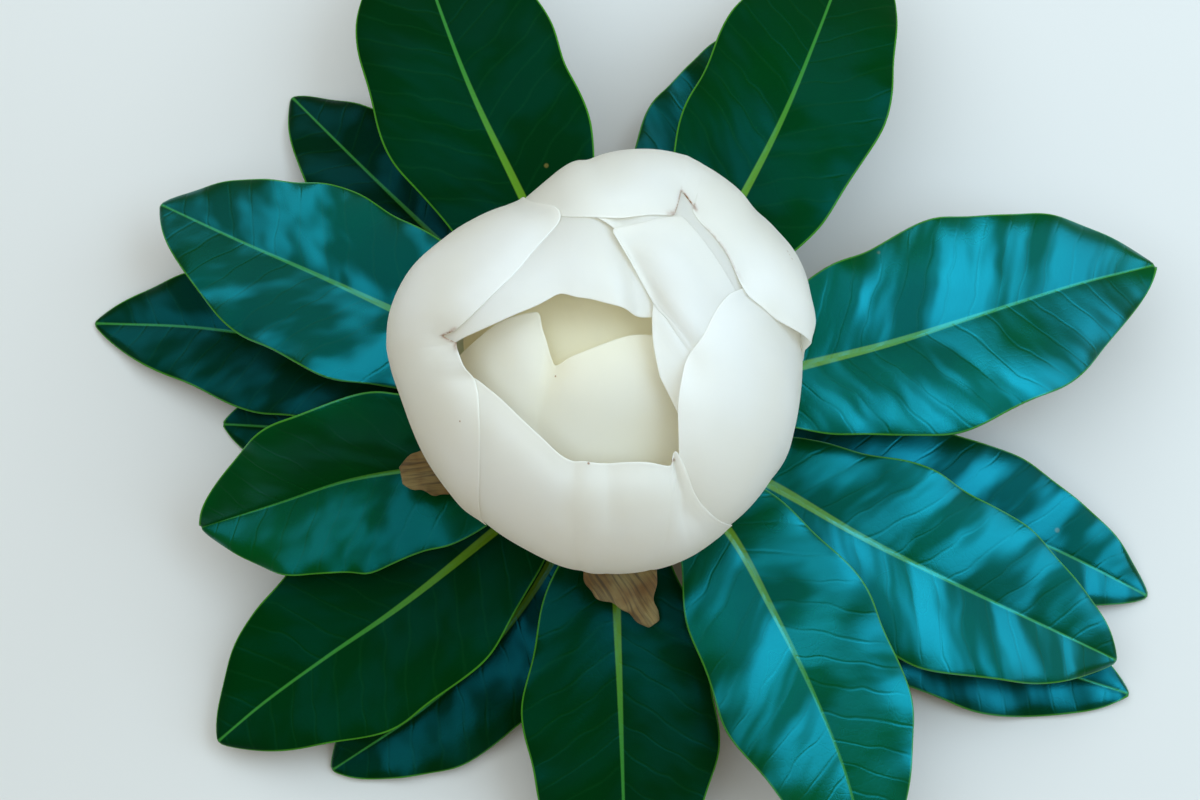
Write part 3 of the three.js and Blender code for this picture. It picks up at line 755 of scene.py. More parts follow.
def tepal_material():
    material, shader, add = new_material(
        "waxy_tepal", IOR=1.42, Coat_Weight=0.12, Coat_Roughness=0.32,
        Sheen_Weight=0.06, Sheen_Roughness=0.4,
    )
    place = add("position", out="Object")
    cloud = add("noise", place, Scale=every(35.7), Detail=2.0)
    cream = add("blend", add("ease", cloud, 0.35, 0.65), colour("#fdfbf6"), colour("#fbf8f0"))
    # Cream that grows with the inset: partly the inner tepals' own tint, partly painted shade for the dim,
    # warm hollow
    cream_and_painted_shade = add("attribute", attribute_name="cream_and_painted_shade", out="Fac")
    cream = add("blend", cream_and_painted_shade, cream, colour("#fff7da"))
    pale, full = ((SEAT[2] + rise) * MM for rise in CLAW_GREEN)
    green = add("ease", add("parts", place, out="Z"), pale, full, 0.0, 0.7)
    cream = add("blend", green, cream, colour("#ddd794"))
    bruise = add("attribute", attribute_name="bruise", out="Fac")
    ragged = add("ease", add("noise", place, Scale=every(1.11), Detail=2.0), 0.3, 0.6, 0.35, 1.0)
    specks = add("multiply", speck_share(add), 0.75)
    brown = add("maximum", add("multiply", bruise, ragged), specks)
    skin_colour = add("blend", brown, cream, colour("#a2692a"))
    # Veins run from claw to margin, about 60 across a tepal. The cells of the skin are too
    # fine to show, so their grain is drawn 0.7 mm wide.
    strand = add("stretch", add("uv", uv_map="across_along"), Scale=(60.0, 2.2, 1.0))
    veins = add("noise", strand, Scale=1.0, Detail=3.0)
    grain = add("noise", place, Scale=every(0.714), Detail=2.0)
    relief = add("add", add("multiply", veins, 0.5), add("multiply", grain, 0.12))
    set_shader(
        shader, Base_Color=skin_colour, Roughness=add("ease", cloud, 0.3, 0.7, 0.38, 0.48),
        Normal=add("bump", Height=relief, Strength=0.35, Distance=0.0004),
    )
    through = add("translucent", skin_colour)
    both = add("blend_shaders", TRANSLUCENT, shader.outputs[0], through)
    feed(material.node_tree.nodes["Material Output"].inputs["Surface"], both)
    return material


waxy = tepal_material()
print("waxy tepal has", len(waxy.node_tree.nodes), "nodes")

# %% [markdown]
# ## The tepals, laid inside out
#
# Where a margin is torn or dried, a thin brown line follows it. Each line has a share, how
# brown it is, and the places that it runs through. Its distance from each vertex is written
# as an attribute, and the material turns it to colour. Other attributes carry how deep in
# the bloom a vertex lies, which the material turns to a warmer cream that is partly the
# tepals' own and partly painted shade, and whether the tepal is one of the two innermost.

# %% Tepals
TEARS = {
    "tepal_outer_back": [
        (1.0, [(57, 51.6), (53.7, 50), (50, 48.7)]),
        (0.6, [(51.5, 40.2), (54.3, 45.7), (57, 51.6)]),
        (0.3, [(42.5, 46.4), (38.6, 47.1), (28.5, 49.6), (21.0, 50.9)]),
    ],
    "tepal_outer_left": [(0.8, [(185.6, 38.4), (180.1, 43.2), (179, 38.4)])],
}
TEAR_WIDTH = 0.45
CREAM_SHADE_FROM = 9
CREAM_SHADE_RANGE = 14


def torn(at, tears):
    """How brown each place on the map is: a tear's share on its line, 0 beside it."""
    brown = np.zeros(at.shape[:-1])
    for share, line in tears:
        away = [distance_to_segment(at, on_map(*a), on_map(*b)) for a, b in zip(line[:-1], line[1:])]
        beside = ease((np.min(away, axis=0) - 0.3 * TEAR_WIDTH) / TEAR_WIDTH)
        brown = np.maximum(brown, share * (1 - beside))
    return brown


INSIDE_OUT = [
    "tepal_inner_back", "tepal_inner_front", "tepal_middle_left", "tepal_middle_back",
    "tepal_inner_right", "tepal_middle_right", "tepal_outer_back", "tepal_outer_front",
    "tepal_outer_left",
]
for seed, node_name in enumerate(INSIDE_OUT, start=1):
    tepal = TEPALS[node_name]
    at, inset, thickness, to_rim, places = tepal_sheet(tepal, seed)
    inset = laid_on(skin, at, inset, thickness, to_rim, tepal.get("rest", 1.0))
    write_skin(skin, at, inset, thickness)
    polar, bearing = np.linalg.norm(at, axis=-1), np.degrees(np.arctan2(at[..., 1], at[..., 0]))
    points = in_bloom(on_ball(polar, bearing, inset, tepal["whorl"]))
    piece, order = grid_sheet(node_name + "_waxy", points, waxy)
    write_uv(piece, "across_along", by_vertex(order, places))
    write_uv(piece, "on_ball", by_vertex(order, at / UV_SPAN))
    innermost = node_name in INSIDE_OUT[:2]
    # Painted shade: how far in the tepal lies, which the material turns to a warmer cream
    write_value(piece, "cream_and_painted_shade", by_vertex(order, ease((inset - CREAM_SHADE_FROM) / CREAM_SHADE_RANGE)).ravel())
    write_value(piece, "inner", np.full(len(order), float(innermost)))
    if node_name in TEARS:
        write_value(piece, "bruise", by_vertex(order, torn(at, TEARS[node_name])).ravel())
    thicken(piece, order, thickness)
    dress(piece, node_name)

# %% [markdown]
# ## A tube made ring by ring
#
# The twig, a carpel and the cone that carries the carpels are all tubes that swell and
# narrow. A tube like this could be turned from a profile, but the twig bends. So it starts as
# a circle that is extruded ring by ring, and each ring is then set to its radius and middle.
# The stem's stations are its height, its radius and the place of its middle.

# %% Tubes
STEM_STATIONS = [
    (0, 6.0, 0, 0), (12, 6.0, 0, 0), (26, 5.8, 0, 0), (36, 5.4, -0.8, 0.7),
    (41, 5.4, -2.2, 1.9), (43.9, 7.6, -2.9, 2.6),
]


def stem_at(height):
    """Radius and middle of the stem at a height below the bloom."""
    stations = np.array(STEM_STATIONS, float)
    return [float(np.interp(height, stations[:, 0], stations[:, i])) for i in (1, 2, 3)]


def tube_of_rings(name, rings, material):
    """rings[ring, side] are points in mm; both ends are closed."""
    count, sides = rings.shape[:2]
    bpy.ops.mesh.primitive_circle_add(vertices=sides, radius=1.0)
    piece = bpy.context.object
    piece.name = piece.data.name = name
    bpy.ops.object.mode_set(mode="EDIT")
    bpy.ops.mesh.select_all(action="SELECT")
    bpy.ops.mesh.edge_face_add()
    for _ in range(count - 1):
        bpy.ops.mesh.extrude_region_move(TRANSFORM_OT_translate={"value": (0.0, 0.0, 1.0)})
    bpy.ops.mesh.select_all(action="SELECT")
    bpy.ops.mesh.normals_make_consistent(inside=False)
    bpy.ops.object.mode_set(mode="OBJECT")
    flat = np.zeros(count * sides * 3)
    piece.data.vertices.foreach_get("co", flat)
    flat = flat.reshape(-1, 3)
    turn = np.round(np.degrees(np.arctan2(flat[:, 1], flat[:, 0])) % 360, 3) % 360
    order = np.lexsort((turn, flat[:, 2].round(3)))
    flat[order] = rings.reshape(-1, 3) * MM
    piece.data.vertices.foreach_set("co", flat.ravel())
    piece.data.materials.append(material)
    return piece

print("the stem is", round(2 * stem_at(20)[0], 1), "mm thick among the leaves")

# %% [markdown]
# ## Green twig
#
# Young magnolia twigs are olive green with a thin brown bloom of hairs and small pale pores,
# so the eye finds them rough and dull beside the glossy leaves. The cut end shows paler wood
# inside a green rind, which a colour by height and by distance from the stem's middle gives.

# %% Stem material
RIND_INSIDE = (1.2, 4.9)


def stem_material():
    material, shader, add = new_material("green_twig", Roughness=0.6, Sheen_Weight=0.25)
    place = add("position", out="Object")
    drawn = add("stretch", place, Scale=(1.0, 1.0, 0.18))
    grain = add("noise", drawn, Scale=every(1.61), Detail=3.0)
    patches = add("noise", place, Scale=every(11.1), Detail=2.0)
    olive = add("blend", add("ease", patches, 0.4, 0.62), colour("#64702f"), colour("#7f6c3a"))
    olive = add("blend", add("ease", grain, 0.5, 0.75, 0.0, 0.55), olive, colour("#4d4a24"))
    pore = add("ease", add("cells", drawn, Scale=every(3.03)), 0.16, 0.09, 0.0, 0.8)
    olive = add("blend", pore, olive, colour("#b3a372"))
    cut = add("ease", add("parts", place, out="Z"), 0.6 * MM, 0.2 * MM)
    from_middle = add("distance", place, Vector(SHIFT) * MM)
    rind = add("ease", from_middle, RIND_INSIDE[0] * MM, RIND_INSIDE[1] * MM)
    wood = add("blend", rind, colour("#d9cf9c"), colour("#b9b673"))
    relief = add("subtract", grain, add("multiply", pore, -0.5))
    set_shader(
        shader, Base_Color=add("blend", cut, olive, wood),
        Normal=add("bump", Height=relief, Strength=0.5, Distance=0.0004),
    )
    return material


green_twig = stem_material()
print("green twig has", len(green_twig.node_tree.nodes), "nodes")

# %% [markdown]
# ## Stem
#
# The bloom grows on the end of the twig, cut square below the leaves. Each leaf leaves a
# ring-shaped scar round the twig just above its stalk: a low swelling with a groove over it.
# Above the leaves the twig swells to the receptacle, which carries the whole bloom. Its
# profile is given as radius and height over the seat, and leans with the bloom.

# %% Stem
STEM_SIDES = 40
SCARS = [16, 20, 23, 26, 30.5, 34, 37.2]
SCAR_SWELL = 0.35
SCAR_GROOVE = 0.3
CUT_BEVEL = 0.35
CUT_BEVEL_HEIGHT = 0.8
RECEPTACLE = [
    (7.7, -0.9), (8.1, 0.3), (8.4, 1.4), (8.3, 4), (8.4, 8), (8.2, 11.6), (7.6, 12.4),
    (5.2, 12.9), (4.4, 13.4), (4.3, 19), (4.1, 23.8), (3.4, 24.3),
]


def stem_rings():
    turn = np.linspace(0, 2 * math.pi, STEM_SIDES, endpoint=False)
    round_it = np.stack([np.cos(turn), np.sin(turn), 0 * turn], -1)
    rings = []
    for height in [0, 0.25, CUT_BEVEL_HEIGHT, *np.arange(1.6, 43.9, 0.7)]:
        radius, x, y = stem_at(height)
        if height < CUT_BEVEL_HEIGHT:
            radius -= CUT_BEVEL * (1 - height / CUT_BEVEL_HEIGHT)
        for scar in SCARS:
            off = height - scar - 2.2
            swell = SCAR_SWELL * math.exp(-((off + 1.6) / 1.6) ** 2)
            radius += swell - SCAR_GROOVE * math.exp(-(off / 0.5) ** 2)
        wander = 0.12 * np.sin(3 * turn + 0.35 * height) + 0.08 * np.sin(5 * turn - 0.2 * height)
        rings.append(round_it * (radius + wander)[:, None] + [x, y, height] + SHIFT)
    for radius, rise in RECEPTACLE:
        rings.append(in_bloom(round_it * radius + [0, 0, rise]))
    return np.array(rings)


stem = tube_of_rings("stem_twig", stem_rings(), green_twig)
round_and_finish(stem)
dress(stem, "stem")

# %% [markdown]
# ## Leaves
#
# A magnolia leaf is long, stiff and leathery, with a strong midrib, a wavy margin and a
# stalk as thick as a match. Each leaf is written as one row: the bearing and height where it
# leaves the stem, half its width, how far it folds up along the midrib and rolls over, the
# size and start of its waves, whether its tip touches what the flower stands on, and the
# points that its midrib runs through.

# %% [markdown]
# ## Leaves
#
# A magnolia leaf is long, stiff and leathery, with a strong midrib, a wavy margin and a
# stalk as thick as a match. Its midrib is a smooth curve through a few points. The blade
# opens on both sides of it, folded up a little like a shallow boat. The midrib is flush on
# the upper side and stands proud below, so the sheet gets thicker there and sinks by half
# of that.

# %% Leaf table
LEAF_WORDS = ("bearing", "height", "half", "fold", "roll", "wave", "phase", "touches")
LEAVES = {
    "leaf_back_left": (
        113, 38, 31, 9, 0, 1.2, 0.0, False,
        [(-12, 28, 42), (-29, 64, 45), (-44, 96, 45), (-55, 126, 39), (-66, 163, 24)],
    ),
    "leaf_back_right": (
        60, 38, 29, 10, 0, 1.2, 0.9, False,
        [(16, 28, 42), (37, 65, 45), (49, 89, 44), (61, 119, 38), (75, 159, 23)],
    ),
    "leaf_back_low": (
        72, 23, 26, 8, 0, 1.0, 1.7, True,
        [(10, 27, 24), (23, 66, 20), (38, 104, 12), (50, 136, 2)],
    ),
    "leaf_right": (
        12, 37, 32, 8, 0, 1.3, 2.4, False,
        [(26, 6, 41), (54, 13, 43), (80, 20, 42), (106, 29, 39), (139, 41, 32), (164, 49, 24)],
    ),
    "leaf_right_front": (
        -27, 30, 28, 10, 0, 1.2, 0.4, False,
        [(22, -10, 32), (45, -21, 33), (73, -37, 31), (105, -52, 25), (133, -64, 18), (150, -71, 12)],
    ),
    "leaf_right_under": (
        -10, 23, 23, 6, 0, 1.0, 1.3, True,
        [(24, -4, 23), (55, -10, 20), (90, -21, 16), (131, -36, 10), (162, -50, 2)],
    ),
    "leaf_right_low": (
        -36, 17, 25, 6, 0, 1.0, 2.1, True,
        [(22, -14, 16), (62, -37, 12), (100, -58, 7), (131, -72, 3), (155, -80, 1)],
    ),
    "leaf_front_right": (
        -57, 38, 28, 11, 0, 1.2, 0.7, False,
        [(15, -18, 41), (32, -37, 43), (45, -61, 42), (56, -83, 38), (66, -107, 31), (73, -134, 22)],
    ),
    "leaf_front": (
        -89, 32, 29, 10, 0, 1.2, 1.9, True,
        [(0, -24, 34), (-1, -52, 33), (0, -83, 28), (1, -112, 18), (2, -146, 2)],
    ),
    "leaf_front_left": (
        -122, 20, 24, 12, -16, 1.0, 0.2, True,
        [(-10, -20, 20), (-22, -44, 18), (-38, -66, 13), (-58, -84, 8), (-87, -103, 2)],
    ),
    "leaf_left_front": (
        -139, 26, 30, 7, 0, 1.3, 1.1, False,
        [(-16, -16, 27), (-36, -33, 28), (-65, -56, 25), (-88, -71, 19), (-107, -84, 13), (-121, -95, 8)],
    ),
    "leaf_left_fold": (
        -160, 34, 30, 30, -20, 1.2, 2.6, False,
        [(-18, -8, 36), (-40, -14, 36), (-62, -17, 37), (-81, -20, 35), (-102, -26, 30), (-126, -32, 22)],
    ),
    "leaf_left": (
        158, 36, 28, 9, 0, 1.2, 0.5, False,
        [(-20, 9, 40), (-44, 19, 42), (-69, 31, 42), (-91, 42, 39), (-115, 54, 33), (-141, 68, 25)],
    ),
    "leaf_left_low": (
        172, 23, 24, 7, 0, 1.0, 1.5, True,
        [(-26, 7, 24), (-60, 16, 21), (-95, 26, 15), (-130, 33, 8), (-164, 36, 2)],
    ),
    "leaf_left_under": (
        192, 16, 22, 6, 0, 0.9, 2.9, True,
        [(-20, -3, 15), (-48, -3, 12), (-80, 0, 8), (-123, 4, 2)],
    ),
    "leaf_back_left_low": (
        132, 21, 23, 7, 0, 1.0, 0.8, True,
        [(-19, 21, 21), (-50, 53, 17), (-80, 84, 10), (-104, 110, 3)],
    ),
}
print(len(LEAVES), "leaves, of which", sum(row[7] for row in LEAVES.values()), "touch with their tips")

# %% [markdown]
# ## From a midrib to a blade
#
# The midrib is a smooth curve through a few points. The blade opens on both sides of it,
# folded up a little like a shallow boat, and waves more toward its margin. The midrib is
# flush on the upper side and stands proud below, so the sheet gets thicker there and sinks
# by half of that. The stalk is the same sheet, narrow and nearly round.

# %% From a midrib to a blade
PETIOLE_HALF_WIDTH = 2.0
PETIOLE_THICK = 3.8
PETIOLE_SHARE = 0.13
PETIOLE_SUNK = 0.8
LEAF_THICK = 0.8
LEAF_RIM = 0.5
LEAF_RIM_WIDTH = 3.0
RIB_DEPTH = 1.7
RIB_WIDTH = 1.7
RIB_FURROW = 0.25
SWAY = 0.035
RIPPLE = 0.6
RAGGED = 0.08
OPENING = 0.25
LEAF_ROWS = 54
HALF_COLUMNS = [0.05, 0.11, 0.2, 0.32, 0.46, 0.6, 0.74, 0.86, 0.95, 1.0]
LEAF_COLUMNS = np.array([-u for u in HALF_COLUMNS[::-1]] + [0.0] + HALF_COLUMNS)


def midrib_line(knots, shares):
    """Points and directions on a smooth curve through the knots, at shares of its length."""
    p = np.array([2 * knots[0] - knots[1], *knots, 2 * knots[-1] - knots[-2]])
    steps = np.linalg.norm(np.diff(p, axis=0), axis=1) ** 0.5
    u = np.linspace(0, 1, 60)[:, None]
    parts = []
    for k in range(1, len(p) - 2):
        a, b, c = steps[k - 1:k + 2]
        leaving = ((p[k] - p[k - 1]) / a - (p[k + 1] - p[k - 1]) / (a + b) + (p[k + 1] - p[k]) / b) * b
        coming = ((p[k + 1] - p[k]) / b - (p[k + 2] - p[k]) / (b + c) + (p[k + 2] - p[k + 1]) / c) * b
        parts.append(hermite(u, p[k], p[k + 1], leaving, coming)[:-1])
    line = np.concatenate([*parts, knots[-1:]])
    run = np.concatenate([[0], np.cumsum(np.linalg.norm(np.diff(line, axis=0), axis=1))])
    heading = np.gradient(line, run, axis=0)
    at = np.stack([np.interp(shares * run[-1], run, line[:, i]) for i in range(3)], -1)
    along = np.stack([np.interp(shares * run[-1], run, heading[:, i]) for i in range(3)], -1)
    return at, along / np.linalg.norm(along, axis=-1, keepdims=True), run[-1]


def unit(vectors):
    return vectors / np.linalg.norm(vectors, axis=-1, keepdims=True)


def blade_points(leaf, petiole, drop):
    """Middle of the blade in mm, its thickness, and for each point its real and relative place."""
    radius, x, y = stem_at(leaf["height"])
    bearing = math.radians(leaf["bearing"])
    out = radius - PETIOLE_SUNK
    start = np.array([x + out * math.cos(bearing), y + out * math.sin(bearing), leaf["height"]])
    knots = np.array([start, *leaf["midrib"]], float)
    knots[-1, 2] += drop
    share = np.linspace(0, 1, LEAF_ROWS)
    at, along, length = midrib_line(knots, share)
    opened = ease((share - petiole) / OPENING)[:, None]
    side = unit(np.cross(along, [0.0, 0.0, 1.0]))
    roll = np.radians(leaf["roll"]) * opened
    side = side * np.cos(roll) + np.cross(along, side) * np.sin(roll)
    up = unit(np.cross(side, along))

    x_blade = np.clip((share - petiole) / (1 - petiole), 0, 0.999)[:, None]
    blade = np.sin(math.pi * np.minimum(x_blade, 0.9985) ** 1.08) ** 0.72
    narrow = PETIOLE_HALF_WIDTH * (1 - x_blade)
    half = np.where(share[:, None] <= petiole, PETIOLE_HALF_WIDTH, narrow + (leaf["half"] - narrow) * blade)
    u = LEAF_COLUMNS[None]
    if "widths" in leaf:
        half = np.interp(share, *np.transpose(leaf["widths"]))[:, None]
        notches = np.sin(34 * share[:, None] + 2 * u) + 0.7 * np.sin(71 * share[:, None] - 3 * u)
        half = half * (1 + RAGGED * notches)
    fold = np.radians(leaf["fold"]) * opened
    wave = np.where(u > 0, 1.3, 0.0) + leaf["phase"] + 5 * math.pi * share[:, None]
    half = half * (1 + SWAY * np.sin(1.7 * wave) * opened)
    swell = leaf["wave"] * np.sin(wave) * opened * u**2
    ripple = RIPPLE * np.sin(3.9 * wave + 2.1 * np.sign(u)) * opened * np.abs(u) ** 5
    cup = half * (np.sin(fold) * np.abs(u) - 0.1 * opened * u**4) + swell + ripple

    from_rib = np.abs(u) * half
    rib = RIB_DEPTH * (1 - 0.75 * share[:, None]) * np.exp(-((from_rib / RIB_WIDTH) ** 2))
    to_rim = half * (1 - np.abs(u))
    flat_blade = LEAF_THICK + (LEAF_RIM - LEAF_THICK) * (1 - ease(to_rim / LEAF_RIM_WIDTH)) + rib
    stalk = PETIOLE_THICK * np.sqrt(1 - 0.96 * u**2)
    formed = ease((share - petiole * 0.8) / 0.12)[:, None]
    thickness = flat_blade if petiole == 0 else stalk * (1 - formed) + flat_blade * formed
    sink = (0.5 * rib + RIB_FURROW * np.exp(-((from_rib / 1.0) ** 2))) * (formed if petiole else 0)

    points = (
        at[:, None] + side[:, None] * (u * half * np.cos(fold))[..., None]
        + up[:, None] * (cup - sink)[..., None]
    )
    real = np.stack(np.broadcast_arrays(u * half, share[:, None] * length), -1) / UV_SPAN
    relative = np.stack(np.broadcast_arrays((u + 1) / 2, share[:, None]), -1)
    return points + SHIFT, thickness, real, relative, to_rim


def laid_blade(leaf, petiole):
    """The blade, its tip lowered until it just touches what the flower stands on."""
    drop = 0.0
    for _ in range(6):
        points, thickness, *rest = blade_points(leaf, petiole, drop)
        if not leaf["touches"]:
            break
        drop -= (points[..., 2] - 0.55 * thickness).min() - 0.05
    return points, thickness, *rest


def from_row(row, **more):
    """A leaf's row of the table, with a name for each of its values."""
    return dict(zip(LEAF_WORDS, row), midrib=row[-1], **more)


front = laid_blade(from_row(LEAVES["leaf_front"]), PETIOLE_SHARE)[0]
print("the front leaf's lowest point is", round(float(front[..., 2].min()), 2), "mm up")

# %% [markdown]
# ## Veins of a leaf
#
# The midrib is a line that gets narrower toward the tip. The side veins leave it on both
# sides in turn, lie about 9 mm apart, and lag behind as they run out, so they slant forward.
# Both faces of the leaf read the real size from a UV map, so the veins keep their distance
# on every leaf. The beds between the veins are given back too, because the wax lies in them.

# %% Vein pattern
VEIN_EVERY = 8.7
VEIN_LAG = 0.62


def vein_shares(add):
    """What both faces share: side veins, midrib and margin from 0 to 1, and their coordinates."""
    real = add("uv", uv_map="real_size")
    side, along = add("parts", real, out="X"), add("parts", real, out="Y")
    across = add("absolute", side)
    drift = add("noise", real, Scale=every(20, UV_SPAN), Detail=2.0)
    in_turn = add("multiply", add("greater_than", side, 0.0), 0.5)
    lagging = add("subtract", along, add("multiply", across, VEIN_LAG))
    steps = add("multiply", lagging, every(VEIN_EVERY, UV_SPAN))
    steps = add("add", steps, add("add", in_turn, drift))
    beat = add("absolute", add("subtract", add("fract", steps), 0.5))
    veins = add("ease", beat, 0.09, 0.0)
    share = add("parts", add("uv", uv_map="relative"), out="Y")
    rib_width = add("ease", share, 0.1, 0.8, 0.019, 0.005)
    midrib = add("ease", add("subtract", across, rib_width), 0.0025, -0.0025)
    to_margin = add("attribute", attribute_name="to_margin", out="Fac")
    margin = add("ease", to_margin, 0.75, 0.25)
    return veins, midrib, margin, share, real, add("vector", steps, side)


print("side veins on a 160 mm leaf:", round(160 / VEIN_EVERY), "on each side")

# %% [markdown]
# ## Leathery upper side
#
# The upper side is dark green under a hard wax, and what the eye sees of it is mostly the cool
# light that the wax mirrors. A clear coat could do this, but it would mirror the light white.
# So the gloss is tinted instead, and its strength follows how much wax each leaf has and
# where it lies, in beds along the side veins. The midrib is yellow-green, the very edge is
# thin and pale. The finest net of veins is too fine to show, so it is drawn 2 mm wide.

# %% Upper side of the leaf
def leaf_top_material():
    material, shader, add = new_material(
        "leathery_leaf_top", Roughness=0.27, IOR=1.75, Specular_Tint=colour("#2de4ff"),
    )
    veins, midrib, margin, share, real, beds = vein_shares(add)
    place = add("position", out="Object")
    cloud = add("noise", place, Scale=every(41.7), Detail=3.0)
    green_and_painted_light = add("attribute", attribute_name="green_and_painted_light", out="Fac")
    gloss = add("attribute", attribute_name="gloss", out="Fac")
    # Each leaf's green is partly its own freshness and partly painted light and shade: darker on leaves in
    # shade, fresher on lit ones
    green = add("blend", green_and_painted_light, colour("#011804"), colour("#034a17"))
    green = add("blend", add("ease", cloud, 0.35, 0.68, 0.0, 0.5), green, colour("#04260a"))
    green = add("blend", add("multiply", veins, 0.14), green, colour("#14451c"))
    # A few brown specks: one cell of 11 mm in twenty has one in its middle
    cells = add("cells", place, Scale=every(11.1))
    chosen = add("ease", add("colour_parts", cells.node.outputs["Color"]), 0.93, 0.96)
    speck = add("multiply", add("ease", cells, 0.09, 0.04), chosen)
    green = add("blend", speck, green, colour("#5a5326"))
    green = add("blend", margin, green, colour("#3f7d1e"))
    rib = add("blend", add("ease", share, 0.15, 0.7), colour("#6b8a12"), colour("#34762a"))
    green = add("blend", midrib, green, rib)
    net = add("ease", add("cell_edges", real, Scale=every(2.08, UV_SPAN)), 0.0, 0.12, 0.0, 0.015)
    relief = add("add", add("multiply", veins, -0.1), add("add", net, cloud))
    # The wax noise starts elsewhere on each leaf, and is drawn out along the beds
    own = add("scale", place, Scale=every(71.4))
    in_beds = add("multiply_add", beds, (0.6, every(26.3, UV_SPAN), 1.0), own)
    wax = add("ease", add("noise", in_beds, Scale=1.0, Detail=2.0), 0.38, 0.6, 0.2, 1.0)
    set_shader(
        shader, Base_Color=green, Roughness=add("ease", cloud, 0.3, 0.7, 0.22, 0.36),
        Specular_IOR_Level=add("multiply", add("ease", gloss, 0.0, 1.0, 0.01, 1.0), wax),
        Normal=add("bump", Height=relief, Strength=0.6, Distance=0.0008),
    )
    return material


leaf_top = leaf_top_material()
print("upper side has", len(leaf_top.node_tree.nodes), "nodes")

# %% [markdown]
# ## Felted underside
#
# The underside is matt and paler, with a rusty felt of short hairs that catches light at a
# low angle, which sheen gives. The hairs are too fine to show, so the felt is drawn as a
# mottle with a grain of 1.1 mm. The veins stand proud of it.

# %% Underside of the leaf
def leaf_underside_material():
    material, shader, add = new_material(
        "felted_leaf_underside", Roughness=0.75, Sheen_Weight=0.4, Sheen_Roughness=0.5,
        Sheen_Tint=colour("#c99c62"),
    )
    veins, midrib, margin, *_ = vein_shares(add)
    place = add("position", out="Object")
    felt = add("noise", place, Scale=every(1.11), Detail=2.0)
    cloud = add("noise", place, Scale=every(50), Detail=2.0)
    under = add("blend", add("ease", cloud, 0.38, 0.66), colour("#5c7038"), colour("#7d6838"))
    under = add("blend", add("ease", felt, 0.45, 0.7, 0.0, 0.5), under, colour("#8d5f30"))
    under = add("blend", add("multiply", veins, 0.35), under, colour("#8b8f4e"))
    under = add("blend", margin, under, colour("#5c9038"))
    under = add("blend", midrib, under, colour("#96994f"))
    relief = add("add", add("multiply", veins, 0.9), add("multiply", felt, 0.3))
    set_shader(
        shader, Base_Color=under, Normal=add("bump", Height=relief, Strength=0.5, Distance=0.0005),
    )
    return material


leaf_underside = leaf_underside_material()
print("underside has", len(leaf_underside.node_tree.nodes), "nodes")

# %% [markdown]
# ## The sixteen leaves
#
# The leaves differ in how much wax they have and in how fresh their green is, so each has two
# numbers of its own. The green number also paints light and shade: leaves that lie in shade get
# a darker green, lit ones a fresher one. They are written as attributes, and one material serves
# all the leaves.

# %% Leaves
# Wax on each leaf, from dull to glossy, and its green, from dark to fresh, which also paints light and
# shade: shaded leaves darker, lit ones fresher
LEAF_LOOKS = {
    "leaf_back_left": (0.1, 0.25), "leaf_back_right": (0.15, 0.4), "leaf_back_low": (0.5, 0.4),
    "leaf_right": (1.0, 0.8), "leaf_right_front": (1.0, 0.8), "leaf_right_under": (0.9, 0.5),
    "leaf_right_low": (0.7, 0.3), "leaf_front_right": (0.85, 0.9), "leaf_front": (0.2, 0.3),
    "leaf_front_left": (0.3, 0.2), "leaf_left_front": (0.1, 0.3), "leaf_left_fold": (0.4, 0.8),
    "leaf_left": (0.9, 0.5), "leaf_left_low": (0.3, 0.2), "leaf_left_under": (0.3, 0.2),
    "leaf_back_left_low": (0.2, 0.1),
}
for node_name, row in LEAVES.items():
    points, thickness, real, relative, to_rim = laid_blade(from_row(row), PETIOLE_SHARE)
    piece, order = grid_sheet(node_name + "_leathery", points, leaf_top, leaf_underside)
    write_uv(piece, "real_size", by_vertex(order, real))
    write_uv(piece, "relative", by_vertex(order, relative))
    write_value(piece, "to_margin", by_vertex(order, to_rim).ravel())
    for look, value in zip(("gloss", "green_and_painted_light"), LEAF_LOOKS[node_name]):
        write_value(piece, look, np.full(len(order), value))
    thicken(piece, order, thickness, under_material=1)
    dress(piece, node_name)

# %% [markdown]
# ## Dried bracts
#
# Two scales that once wrapped the bud still hang below the bloom. They are thin, brown and
# papery, and have shrivelled: each is widest part of the way out and narrows to a curled,
# ragged end. They are made as leaves without a stalk, with their half width given at shares
# of the length. Dry fibres about 1 mm apart run along them, and give the eye a dull grain.

# %% Bracts
BRACT_THICK = 0.6
CRUMPLE = 1.1
BRACTS = {
    "bract_left": (
        -165, 41.6, 9, 14, -14, 1.4, 0.0, False,
        [(-24, -9, 40.4), (-42, -16, 42), (-64.5, -20.5, 45.5)],
    ),
    "bract_front": (
        -88, 42.4, 9, 20, -8, 1.8, 1.4, False,
        [(-2, -24, 41.5), (-2, -44, 41), (3.5, -54, 40.5), (10, -63.5, 38.5)],
    ),
}
BRACT_WIDTHS = {
    "bract_left": [(0, 5), (0.6, 8), (0.85, 7.2), (0.95, 5.2), (1, 2.6)],
    "bract_front": [(0, 5), (0.5, 11), (0.75, 12), (0.83, 8), (0.89, 3.9), (0.95, 3.8), (1, 2)],
}


def bract_material():
    material, shader, add = new_material("papery_bract", Roughness=0.8, Sheen_Weight=0.1)
    real = add("uv", uv_map="real_size")
    along = (every(0.91, UV_SPAN), every(14.3, UV_SPAN), 1.0)
    fibres = add("noise", add("stretch", real, Scale=along), Scale=1.0, Detail=3.0)
    cloud = add("noise", add("position", out="Object"), Scale=every(11.1), Detail=3.0)
    brown = add("blend", add("ease", cloud, 0.35, 0.65), colour("#6b4a1a"), colour("#857040"))
    brown = add("blend", add("ease", fibres, 0.4, 0.7, 0.0, 0.7), brown, colour("#33260f"))
    relief = add("add", fibres, cloud)
    set_shader(
        shader, Base_Color=brown, Normal=add("bump", Height=relief, Strength=0.7, Distance=0.0006),
    )
    return material


